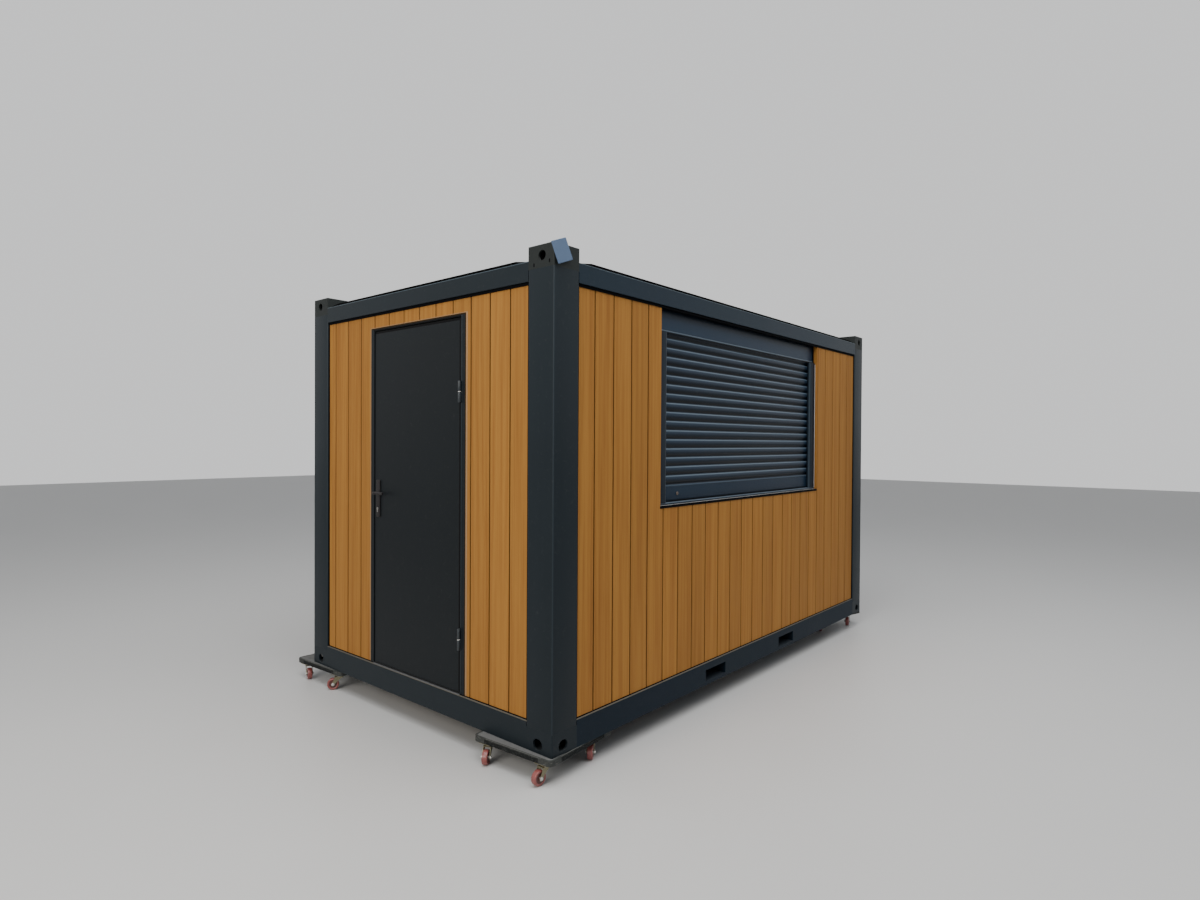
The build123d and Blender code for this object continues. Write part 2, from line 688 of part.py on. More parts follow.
# Caster forks: a plate, a swivel and two legs that reach forward to the axle
with BuildPart() as caster_forks:
    with BuildSketch(*[seat.offset(caster_height) for seat in plate_seats]):
        Rectangle(caster_plate_side, caster_plate_side)
    extrude(amount=-caster_plate_thickness)
    with BuildSketch(*[seat.offset(crown_top) for seat in caster_seats]):
        Circle(swivel_radius)
    extrude(amount=swivel_height)
    with BuildSketch(*[seat.offset(crown_top) for seat in caster_seats]):
        with Locations(((fork_front - fork_back) / 2, 0)):
            Rectangle(fork_front + fork_back, 2 * fork_outer)
    extrude(amount=-crown_thickness)
    leg_planes = [across_plane(seat, side) for seat in caster_seats for side in (-fork_inner, fork_outer)]
    with BuildSketch(*leg_planes):
        with BuildLine():
            front_of_axle = (caster_trail + fork_end_radius, wheel_radius)
            under_axle = (caster_trail, wheel_radius - fork_end_radius)
            behind_axle = (caster_trail - fork_end_radius, wheel_radius)
            Polyline(behind_axle, (-fork_back, crown_top), (fork_front, crown_top), front_of_axle)
            ThreePointArc(front_of_axle, under_axle, behind_axle)
        make_face()
        with Locations((caster_trail, wheel_radius)):
            Circle(axle_radius + axle_clearance, mode=Mode.SUBTRACT)
    extrude(amount=fork_wall)
save(caster_forks, "caster_forks")

with BuildPart() as caster_wheels:
    with BuildSketch(*[across_plane(seat, wheel_width / 2) for seat in caster_seats]):
        with Locations((caster_trail, wheel_radius)):
            Circle(wheel_radius)
            Circle(axle_radius + axle_clearance, mode=Mode.SUBTRACT)
    extrude(amount=wheel_width)
    rims = [e for e in caster_wheels.edges().filter_by(GeomType.CIRCLE) if e.radius > wheel_radius - 1]
    fillet(rims, wheel_edge_radius)
save(caster_wheels, "caster_wheels")

with BuildPart() as caster_axles:
    with BuildSketch(*[across_plane(seat, fork_outer + axle_end) for seat in caster_seats]):
        with Locations((caster_trail, wheel_radius)):
            Circle(axle_radius)
    extrude(amount=2 * (fork_outer + axle_end))
save(caster_axles, "caster_axles")
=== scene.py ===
import json
import math

import bmesh
import bpy
import numpy as np
from mathutils import Matrix, Vector
from bpy.props import FloatProperty, FloatVectorProperty, PointerProperty


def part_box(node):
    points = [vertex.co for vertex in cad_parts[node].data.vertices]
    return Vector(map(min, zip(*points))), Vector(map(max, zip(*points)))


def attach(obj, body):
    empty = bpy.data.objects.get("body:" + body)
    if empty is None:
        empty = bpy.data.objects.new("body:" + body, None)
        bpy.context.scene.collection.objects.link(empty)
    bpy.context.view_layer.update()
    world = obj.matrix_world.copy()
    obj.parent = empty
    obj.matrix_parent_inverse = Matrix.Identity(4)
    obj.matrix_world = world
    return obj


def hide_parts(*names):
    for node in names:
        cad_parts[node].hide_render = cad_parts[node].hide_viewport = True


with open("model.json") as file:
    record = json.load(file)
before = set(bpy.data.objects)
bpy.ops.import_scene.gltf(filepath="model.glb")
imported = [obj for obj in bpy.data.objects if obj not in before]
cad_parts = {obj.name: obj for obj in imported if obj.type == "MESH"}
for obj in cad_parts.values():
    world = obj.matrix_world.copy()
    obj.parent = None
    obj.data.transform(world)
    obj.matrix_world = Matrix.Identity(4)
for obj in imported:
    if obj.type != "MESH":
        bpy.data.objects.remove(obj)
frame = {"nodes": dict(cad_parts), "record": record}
finishes = {}

bl_info = {
    "name": "Kiosk office container",
    "version": (1, 0, 0),
    "blender": (4, 5, 0),
    "location": "View3D > Sidebar > Container",
    "description": "Boards, slats, handle, casters, paint and light for the kiosk office container",
    "category": "Object",
}

UP = np.array((0.0, 0.0, 1.0))
ALONG_X, ALONG_Y = (1, 0, 0), (0, 1, 0)


# Sizes and colours a user may change

def length(name, description, default):
    """A length property in metres."""
    return FloatProperty(name=name, description=description, default=default, unit="LENGTH", precision=4)


def colour(name, description, *rgb):
    """A colour property. The default is given as it looks on screen, from 0 to 255."""
    part = np.array(rgb) / 255
    linear = np.where(part <= 0.04045, part / 12.92, ((part + 0.055) / 1.055) ** 2.4)
    return FloatVectorProperty(name=name, description=description, default=[float(v) for v in linear],
                               subtype="COLOR", min=0.0, max=1.0)


class ContainerBoardSizes(bpy.types.PropertyGroup):
    """Cladding boards"""
    side_pitch: length("Side pitch", "Width of one board on the long sides", 0.1602)
    side_first: length("Side start", "Width of the board beside the near post on the long sides", 0.144)
    end_pitch: length("End pitch", "Width of one board on the ends", 0.1624)
    end_first: length("End start", "Width of the board beside the back post on the ends", 0.091)
    gap: length("Gap", "Open joint between two boards", 0.0062)
    chamfer: length("Chamfer", "Slope on a board's long edges", 0.0025)
    tongue: length("Tongue depth", "How far behind the face the joint is closed", 0.0085)
    trim: length("Edge trim", "Width of the dark trim that closes a board's end against the frame", 0.011)


class ContainerShutterSizes(bpy.types.PropertyGroup):
    """Roller shutter"""
    pitch: length("Slat pitch", "Height of one slat", 0.057)
    bulge: length("Slat bulge", "How far a slat's crown stands out", 0.0098)
    joint: length("Slat joint", "Height of the hooked joint between two slats", 0.008)
    lip: length("Fascia lip", "Height of the folded lip under the box", 0.016)
    brush: length("Brush", "Width of the brush strip in a guide", 0.010)


class ContainerDollySizes(bpy.types.PropertyGroup):
    """Dollies and casters"""
    rim: length("Rim", "Thickness of the rubber rim round a board", 0.009)
    bracket: length("Corner bracket", "How far a corner bracket reaches along each edge", 0.055)
    plate: length("Plate side", "Side of a caster's top plate", 0.084)
    core: length("Core radius", "Radius of a wheel's hard core", 0.027)
    bolt: length("Plate bolt", "Distance of a plate bolt from the plate's edge", 0.013)


class ContainerColours(bpy.types.PropertyGroup):
    """Colours"""
    steel: colour("Frame", "Anthracite paint of the frame", 31, 38, 43)
    door: colour("Door", "Anthracite paint of the door", 24, 28, 31)
    shutter: colour("Shutter", "Anthracite paint of the shutter", 28, 47, 66)
    board: colour("Boards", "Golden brown of the boards", 166, 116, 52)
    board_dark: colour("Board grain", "Darker streaks in the boards", 138, 88, 36)
    # The cover plate's light blue-grey is its paint with a painted sheen of light from above.
    cover: colour("Cover plate", "Light blue-grey paint of the cover plate", 92, 110, 136)
    wheel: colour("Wheel", "Red polyurethane of the wheels", 134, 70, 66)
    zinc: colour("Zinc", "Pale yellow zinc plate of the casters", 126, 121, 98)


class ContainerStageSizes(bpy.types.PropertyGroup):
    """Camera and light"""
    lens: FloatProperty(name="Lens", description="Focal length in millimetres on a 36 mm sensor",
                        default=21.20)
    reach: length("Floor reach", "Half the side of the floor", 30.0)
    lamp: FloatProperty(name="Lamp power", description="Power of the large overhead lamp", default=700.0,
                        unit="POWER")
    sky: FloatProperty(name="Sky", description="Strength of the even light from all round", default=0.27)


# Surfaces

class Surface:
    """Gathers grids of points into one mesh of closed shells."""

    def __init__(self):
        self.points, self.corners, self.sizes, self.count = [], [], [], 0
        self.tones, self.darks = [], []

    def grid(self, points, wrap=True, ring=False, tone=0.0, dark=0.0):
        """Joins neighbouring points of a (rows, columns, 3) grid into quads. wrap joins the last column
        to the first. ring joins the last row to the first, and otherwise both end rows are closed. tone is
        the piece's own random number, and dark is painted shade, 1 where a joint keeps the light out, and
        a painted highlight where it is below 0."""
        rows, columns = points.shape[:2]
        index = np.arange(rows * columns).reshape(rows, columns) + self.count
        across = np.concatenate((index, index[:, :1]), 1) if wrap else index
        along = np.concatenate((across, across[:1]), 0) if ring else across
        quads = np.stack((along[:-1, :-1], along[:-1, 1:], along[1:, 1:], along[1:, :-1]), -1).reshape(-1, 4)
        self.corners.append(quads.ravel())
        self.sizes.append(np.full(len(quads), 4))
        if not ring:
            self.corners += [index[0, ::-1], index[-1]]
            self.sizes.append(np.full(2, columns))
        self.points.append(points.reshape(-1, 3))
        self.tones.append(np.broadcast_to(tone, (rows, columns)).ravel())
        self.darks.append(np.broadcast_to(dark, (rows, columns)).ravel())
        self.count += rows * columns
        return self

    def bar(self, *shape, **shades):
        """Adds a bar()."""
        return self.grid(bar(*shape), **shades)

    def strip(self, face, proud, low, high, axis, back=0.003, corner=0.0008):
        """Adds a thin strip that stands proud of a face towards -X, between two (Y, Z) corners."""
        return self.bar((face - proud, *low), (face + back, *high), axis, corner)

    def build(self, name, body, slot, finish, replaces=(), smooth=0.6):
        """Makes the mesh, turns its faces outwards, and parents the piece to its body's empty."""
        mesh = bpy.data.meshes.new(name)
        points = np.concatenate(self.points)
        corners, sizes = np.concatenate(self.corners), np.concatenate(self.sizes)
        mesh.vertices.add(len(points))
        mesh.vertices.foreach_set("co", points.ravel())
        mesh.loops.add(len(corners))
        mesh.loops.foreach_set("vertex_index", corners)
        mesh.polygons.add(len(sizes))
        mesh.polygons.foreach_set("loop_start", np.concatenate(([0], np.cumsum(sizes)[:-1])))
        mesh.update(calc_edges=True)
        for key, values in (("tone", self.tones), ("dark", self.darks)):
            attribute = mesh.attributes.new(key, "FLOAT", "POINT")
            attribute.data.foreach_set("value", np.concatenate(values).astype(float))
        shell = bmesh.new()
        shell.from_mesh(mesh)
        bmesh.ops.recalc_face_normals(shell, faces=shell.faces)
        shell.to_mesh(mesh)
        shell.free()
        mesh.polygons.foreach_set("use_smooth", np.full(len(mesh.polygons), True))
        mesh.set_sharp_from_angle(angle=smooth)
        mesh.materials.append(finishes[finish])
        piece = bpy.data.objects.new(name, mesh)
        bpy.context.collection.objects.link(piece)
        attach(piece, body)
        if replaces:
            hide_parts(*replaces)
        return piece


def rounded_loop(half_a, half_b, radius, steps=4):
    """Outline of a rounded rectangle: at each corner its centre plus the radius times (cos t, sin t),
    with t over a quarter turn. Arguments may be columns of values, one row for each outline."""
    quarter = np.repeat(np.arange(4), steps + 1)
    turn = quarter * math.pi / 2 + np.tile(np.linspace(0, math.pi / 2, steps + 1), 4)
    sign_a = np.array((1, -1, -1, 1))[quarter]
    sign_b = np.array((1, 1, -1, -1))[quarter]
    a = sign_a * (half_a - radius) + radius * np.cos(turn)
    b = sign_b * (half_b - radius) + radius * np.sin(turn)
    return np.stack((a, b), -1)


def bar(low, high, axis=2, corner=0.002, edge=None, steps=3):
    """A straight bar with rounded long edges and rounded ends, between two opposite corners. Its outline
    is a rounded rectangle, drawn in by edge * (1 - sin t) where the length is edge * (1 - cos t) from an
    end, with t over a quarter turn."""
    low, high = np.minimum(low, high), np.maximum(low, high)
    edge = corner if edge is None else edge
    first, second = [(1, 2), (2, 0), (0, 1)][axis]
    half = (high - low) / 2
    corner = min(corner, 0.98 * half[first], 0.98 * half[second])
    edge = min(edge, 0.95 * corner, 0.95 * half[axis])
    turn = np.linspace(0, math.pi / 2, steps + 1)
    inset = edge * (1 - np.sin(turn))
    height = edge * (1 - np.cos(turn))
    inset = np.concatenate((inset, inset[::-1]))[:, None]
    height = np.concatenate((low[axis] + height, (high[axis] - height)[::-1]))
    loop = rounded_loop(half[first] - inset, half[second] - inset, corner - inset, steps)
    points = np.empty(loop.shape[:2] + (3,))
    points[..., first] = loop[..., 0] + (low + high)[first] / 2
    points[..., second] = loop[..., 1] + (low + high)[second] / 2
    points[..., axis] = height[:, None]
    return points


def carried(profile, places, side, rise):
    """A profile carried along a path: each place plus the profile's first value along its side
    direction and the second along its rise direction."""
    profile, places = np.asarray(profile, float), np.asarray(places, float)
    side, rise = np.broadcast_to(side, places.shape), np.broadcast_to(rise, places.shape)
    return places[:, None] + profile[None, :, :1] * side[:, None] + profile[None, :, 1:] * rise[:, None]


def lengthwise(outline, low, high, inset=0.0):
    """A (Y, height) outline carried straight along X, from the low corner's X and level to the high
    corner's X, each end drawn in by inset."""
    places = ((low[0] + inset, 0, low[2]), (high[0] - inset, 0, low[2]))
    return carried(outline, places, ALONG_Y, UP)


def turned(profile, centre, axis, steps=28):
    """A turned shape: radius times (cos t, sin t) round the axis at each height of the profile, which
    lists (radius, height)."""
    axis = np.asarray(axis, float) / np.linalg.norm(axis)
    side = np.cross(axis, UP if abs(axis[2]) < 0.9 else np.array((1.0, 0.0, 0.0)))
    side /= np.linalg.norm(side)
    across = np.cross(axis, side)
    turn = np.linspace(0, 2 * math.pi, steps, endpoint=False)[None, :, None]
    radius, height = np.asarray(profile, float).T[:, :, None, None]
    return np.asarray(centre) + radius * (np.cos(turn) * side + np.sin(turn) * across) + height * axis


def prism(outline, origin, side, rise, out, thickness, edge=0.0):
    """An outline pushed straight out along a direction, its two faces drawn in a little towards the
    outline's middle where edge is given."""
    outline = np.asarray(outline, float)
    middle = outline.mean(0)
    spread = np.linalg.norm(outline - middle, axis=1).max()
    small = middle + (outline - middle) * (1 - edge / spread)
    rows = [(small, 0.0), (outline, edge), (outline, thickness - edge), (small, thickness)] if edge else [
        (outline, 0.0), (outline, thickness)]
    origin, side, rise, out = (np.asarray(v, float) for v in (origin, side, rise, out))
    return np.stack([origin + loop[:, :1] * side + loop[:, 1:] * rise + depth * out for loop, depth in rows])


def solids(node):
    """The connected solids of a packed node, each as an array of its points. Points that coincide are
    one, and each triangle hands its lowest label to its corners until nothing changes."""
    mesh = frame["nodes"][node].data
    points = np.empty(len(mesh.vertices) * 3)
    mesh.vertices.foreach_get("co", points)
    mesh.calc_loop_triangles()
    triangles = np.empty(len(mesh.loop_triangles) * 3, int)
    mesh.loop_triangles.foreach_get("vertices", triangles)
    points, same = np.unique(points.reshape(-1, 3).round(6), axis=0, return_inverse=True)
    triangles = same.ravel()[triangles].reshape(-1, 3)
    label = np.arange(len(points))
    while True:
        lowest = label.copy()
        np.minimum.at(lowest, triangles, label[triangles].min(1)[:, None])
        lowest = lowest[lowest]
        if (lowest == label).all():
            break
        label = lowest
    return [points[label == value] for value in np.unique(label)]


def extent(points):
    """The lowest and highest corner of some points."""
    return points.min(0), points.max(0)


def node_box(node):
    """The lowest and highest corner of a packed node, as arrays."""
    return tuple(np.array(corner, float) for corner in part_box(node))


# Materials

def feed(tree, socket, term):
    """Gives a socket a number, a colour or a link."""
    source = term.source if isinstance(term, Value) else term
    if isinstance(source, bpy.types.NodeSocket):
        tree.links.new(source, socket)
    elif socket.type == "RGBA" and len(tuple(source)) == 3:
        socket.default_value = (*source, 1.0)
    else:
        socket.default_value = source


def add_node(tree, kind, settings=None, *terms, **sockets):
    """A node of any type, with its settings and the values or links of its sockets, first those in order
    and then those by name."""
    node = tree.nodes.new("ShaderNode" + kind)
    for key, value in (settings or {}).items():
        setattr(node, key, value)
    for socket, term in zip(node.inputs, terms):
        feed(tree, socket, term)
    for key, value in sockets.items():
        feed(tree, node.inputs[key.replace("_", " ")], value)
    return node


class Value:
    """A shader number, a socket or a plain number, so that formulas read as ordinary sums."""

    def __init__(self, tree, source):
        self.tree, self.source = tree, source

    def op(self, operation, *others):
        """One Math node on this value and the others."""
        node = add_node(self.tree, "Math", {"operation": operation}, self, *others)
        return Value(self.tree, node.outputs[0])

    def __add__(self, other):
        return self.op("ADD", other)

    def __sub__(self, other):
        return self.op("SUBTRACT", other)

    def __rsub__(self, other):
        return Value(self.tree, other).op("SUBTRACT", self)

    def __mul__(self, other):
        return self.op("MULTIPLY", other)

    def __truediv__(self, other):
        return self.op("DIVIDE", other)

    def __abs__(self):
        return self.op("ABSOLUTE")

    __radd__, __rmul__ = __add__, __mul__

    def between(self, low, high):
        """Rises smoothly from 0 at low to 1 at high."""
        node = add_node(self.tree, "MapRange", {"interpolation_type": "SMOOTHSTEP"}, self, low, high)
        return Value(self.tree, node.outputs["Result"])


class Finish:
    """One material. Its shader is a Principled BSDF, and node() makes any other node."""

    def __init__(self, name):
        self.material = bpy.data.materials.new(name)
        self.material.use_nodes = True
        self.tree = self.material.node_tree
        self.shader = self.tree.nodes["Principled BSDF"]
        self.coordinates = self.node("TexCoord").outputs["Object"]

    def node(self, kind, settings=None, *terms, **sockets):
        """A node of this material, by add_node()."""
        return add_node(self.tree, kind, settings, *terms, **sockets)

    def value(self, socket):
        """A socket as a Value of this material."""
        return Value(self.tree, socket)

    def axes(self):
        """The X, Y and Z of Object coordinates."""
        return [self.value(output) for output in self.node("SeparateXYZ", {}, self.coordinates).outputs]

    def normal(self):
        """The surface's own direction in object space."""
        ways = {"vector_type": "NORMAL", "convert_from": "WORLD", "convert_to": "OBJECT"}
        return self.node("VectorTransform", ways, self.node("NewGeometry").outputs["Normal"]).outputs[0]

    def vector(self, operation, *terms, **sockets):
        """The outcome of one Vector Math node."""
        return self.node("VectorMath", {"operation": operation}, *terms, **sockets).outputs[0]

    def noise(self, scale, stretch=(1, 1, 1), detail=3.0, roughness=0.5, shift=None):
        """Smooth noise from 0 to 1, about 0.5, on stretched Object coordinates."""
        vector = self.vector("MULTIPLY", self.coordinates, stretch)
        if shift is not None:
            vector = self.vector("ADD", vector, shift)
        node = self.node("TexNoise", Vector=vector, Scale=scale, Detail=detail, Roughness=roughness)
        return self.value(node.outputs["Fac"])

    def attribute(self, name):
        """A number that the mesh keeps at each of its points."""
        return self.value(self.node("Attribute", {"attribute_name": name}).outputs["Fac"])

    def mix(self, factor, first, second):
        """The first colour where the factor is 0, the second where it is 1."""
        node = self.node("Mix", {"data_type": "RGBA"}, Factor=factor)
        colours = [socket for socket in node.inputs if socket.type == "RGBA"]
        feed(self.tree, colours[0], first)
        feed(self.tree, colours[1], second)
        return [socket for socket in node.outputs if socket.type == "RGBA"][0]

    def shade(self, tint, factor):
        """A colour multiplied by a number."""
        colour_in = tint if isinstance(tint, bpy.types.NodeSocket) else tuple(tint)
        return self.vector("SCALE", colour_in, Scale=factor)

    def done(self, base, roughness, height=None, depth=0.0005, **constants):
        """Sets the shader. Numbers that are the same all over are set on its own sockets."""
        feed(self.tree, self.shader.inputs["Base Color"], base)
        feed(self.tree, self.shader.inputs["Roughness"], roughness)
        if height is not None:
            bump = self.node("Bump", Height=height, Distance=depth)
            self.tree.links.new(bump.outputs[0], self.shader.inputs["Normal"])
        for key, value in constants.items():
            feed(self.tree, self.shader.inputs[key.replace("_", " ")], value)
        return self.material


def multiplied(tint, factor):
    """A colour multiplied by a plain number, or by one number for each channel."""
    return tuple(float(part) for part in np.multiply(tuple(tint), factor))


def painted_steel(name, tint, gloss=0.42, shine=0.12, sides=0.0):
    """Sprayed steel: faint clouds and rain streaks in the colour, fine orange peel in the surface, dust that
    lies on faces that look up, painted shade, a darker tone where dark is above 0, as where a joint
    keeps the light out, and a painted highlight, a paler blue-grey tone, where dark is below 0. sides
    is painted shade that darkens all faces that don't look up."""
    finish = Finish(name)
    clouds = finish.noise(1.6, detail=4)
    streaks = finish.noise(1.0, (26, 26, 0.9), detail=4, roughness=0.6)
    dust = finish.noise(38, detail=6, roughness=0.7)
    peel = finish.noise(420, detail=1)
    up = finish.value(finish.node("SeparateXYZ", Vector=finish.normal()).outputs[2]).between(0.6, 0.95)
    dark = finish.attribute("dark")
    # Painted shade: darker where dark is above 0.
    tone = (0.88 + 0.16 * clouds + 0.1 * (streaks - 0.5)) * (1 - 0.72 * dark.op("MAXIMUM", 0.0))
    settled = 0.04 + dust.between(0.3, 0.7) * 0.04 + clouds.between(0.4, 0.65) * 0.05
    dirt = dust.between(0.55, 0.8) * 0.05 + up * settled
    # Painted shade on every face that doesn't look up.
    if sides:
        tone = tone * (1 - sides + sides * up)
    # Painted highlight: towards a pale blue-grey where dark is below 0.
    base = finish.mix((dark * -0.06).op("MAXIMUM", 0.0), finish.shade(tint, tone), (0.27, 0.35, 0.41))
    base = finish.mix(dirt, base, (0.26, 0.255, 0.24))
    rough = gloss + 0.16 * (clouds - 0.5) + 0.1 * (dust - 0.5) + 0.2 * up
    return finish.done(base, rough, peel * 0.6 + clouds, 0.0004, Specular_IOR_Level=shine)


def wood_boards(name, light, dark):
    """Wood-look boards: long grain streaks, finer fibre, now and then a wide darker band, each board a
    little different, and painted shade that turns the open joints nearly black."""
    finish = Finish(name)
    own = finish.attribute("tone")
    joint = finish.attribute("dark")
    shift = finish.node("CombineXYZ", X=own * 7.3, Y=own * 3.1, Z=own * 11.7).outputs[0]
    streaks = finish.noise(1.0, (46, 46, 0.9), detail=5, roughness=0.62, shift=shift)
    fibre = finish.noise(1.0, (420, 420, 6), detail=3, roughness=0.55, shift=shift)
    bands = finish.noise(1.0, (13, 13, 0.35), detail=3, shift=shift)
    clouds = finish.noise(1.0, (3, 3, 0.8), detail=3, shift=shift)
    grain = (streaks.between(0.36, 0.7) * 0.6 + fibre.between(0.4, 0.7) * 0.18
             + bands.between(0.5, 0.72) * 0.3)
    base = finish.mix(grain.op("MINIMUM", 1.0), light, dark)
    base = finish.shade(base, 0.9 + 0.13 * own + 0.14 * (clouds - 0.5))
    # Painted shade: nearly black in the open joints, where dark is 1.
    base = finish.mix(joint * 0.93, base, multiplied(dark, 0.1))
    height = fibre * 0.5 + streaks * 0.5
    return finish.done(base, 0.66 + 0.12 * (streaks - 0.5), height, 0.0004, Specular_IOR_Level=0.2)


def coated_sheet(name, tint, pitch=1.0):
    """Light coated sheet in panels, with a shallow upright joint at each panel's edge."""
    finish = Finish(name)
    x, y = finish.axes()[:2]
    along = (x + y) / pitch
    joint = abs(along - along.op("FLOOR") - 0.5).between(0.494, 0.499)
    clouds = finish.noise(2.2, detail=4)
    base = finish.shade(tint, 0.96 + 0.06 * clouds - 0.35 * joint)
    return finish.done(base, 0.4 + 0.1 * clouds, finish.noise(300, detail=1) * 0.2 - joint, 0.001)


def plywood(name, tint):
    """Sealed plywood with broad grain."""
    finish = Finish(name)
    grain = finish.noise(1.0, (1.3, 24, 1), detail=6, roughness=0.62)
    fine = finish.noise(1.0, (14, 420, 1), detail=2)
    base = finish.shade(tint, 0.72 + 0.5 * grain + 0.08 * fine)
    return finish.done(base, 0.45 + 0.2 * grain, grain + 0.4 * fine, 0.0004)


def bare_metal(name, tint, rough=0.34, metallic=1.0, grain=(1, 1, 1), spangle=0.0):
    """Bare or plated metal: drawn lines, small stains and, where wanted, a crystal pattern."""
    finish = Finish(name)
    lines = finish.noise(260, grain, detail=2)
    stains = finish.noise(28, detail=5, roughness=0.65)
    tone = 0.86 + 0.2 * stains + 0.08 * (lines - 0.5)
    if spangle:
        cells = finish.node("TexVoronoi", Vector=finish.coordinates, Scale=spangle).outputs["Color"]
        tone = tone + 0.12 * (finish.value(cells) - 0.5)
    roughness = rough + 0.22 * (stains - 0.5) + 0.1 * (lines - 0.5)
    return finish.done(finish.shade(tint, tone), roughness, lines, 0.0001, Metallic=metallic)


def moulded(name, tint, rough=0.5, mottle=0.12, grain=900, depth=0.0002, **constants):
    """Moulded rubber or plastic: a fine grain, a faint mottle, and a darker tone where dark is 1."""
    finish = Finish(name)
    clouds = finish.noise(24, detail=4)
    fine = finish.noise(grain, detail=2)
    tone = (1 - mottle / 2 + mottle * clouds) * (1 - 0.72 * finish.attribute("dark"))
    return finish.done(finish.shade(tint, tone), rough + 0.18 * (clouds - 0.5), fine, depth, **constants)


def scuffed_highlit_rim(name, tint, pale):
    """Dark rubber or paint of the dollies' rims and brackets, with pale scuffs, and a painted highlight,
    paler still, where dark is below 0."""
    finish = Finish(name)
    scuffs = finish.noise(1.0, (58, 58, 150), detail=4, roughness=0.7)
    fine = finish.noise(260, detail=2)
    # Painted highlight where dark is below 0. The scuffs are real wear.
    edge = (finish.attribute("dark") * -0.12).op("MAXIMUM", 0.0)
    worn = (scuffs.between(0.54, 0.68) * 0.3 + edge).op("MINIMUM", 0.9)
    return finish.done(finish.mix(worn, tint, pale), 0.65 + 0.2 * (scuffs - 0.5), fine, 0.0006,
                       Specular_IOR_Level=0.08)


def scuffed_board(name, tint, dark):
    """The dolly's top: fine studs pressed in a light sheet, with scuffs from heavy loads."""
    finish = Finish(name)
    x, y = finish.axes()[:2]
    studs = ((x * 420).op("SINE") * (y * 420).op("SINE")).between(0.2, 0.9)
    scuffs = finish.noise(1.0, (30, 9, 1), detail=6, roughness=0.7)
    base = finish.mix(scuffs.between(0.52, 0.72) * 0.6, finish.shade(tint, 0.92 + 0.1 * studs), dark)
    return finish.done(base, 0.75 + 0.2 * (scuffs - 0.5), studs * 0.8 + scuffs * 0.3, 0.0006,
                       Specular_IOR_Level=0.08)


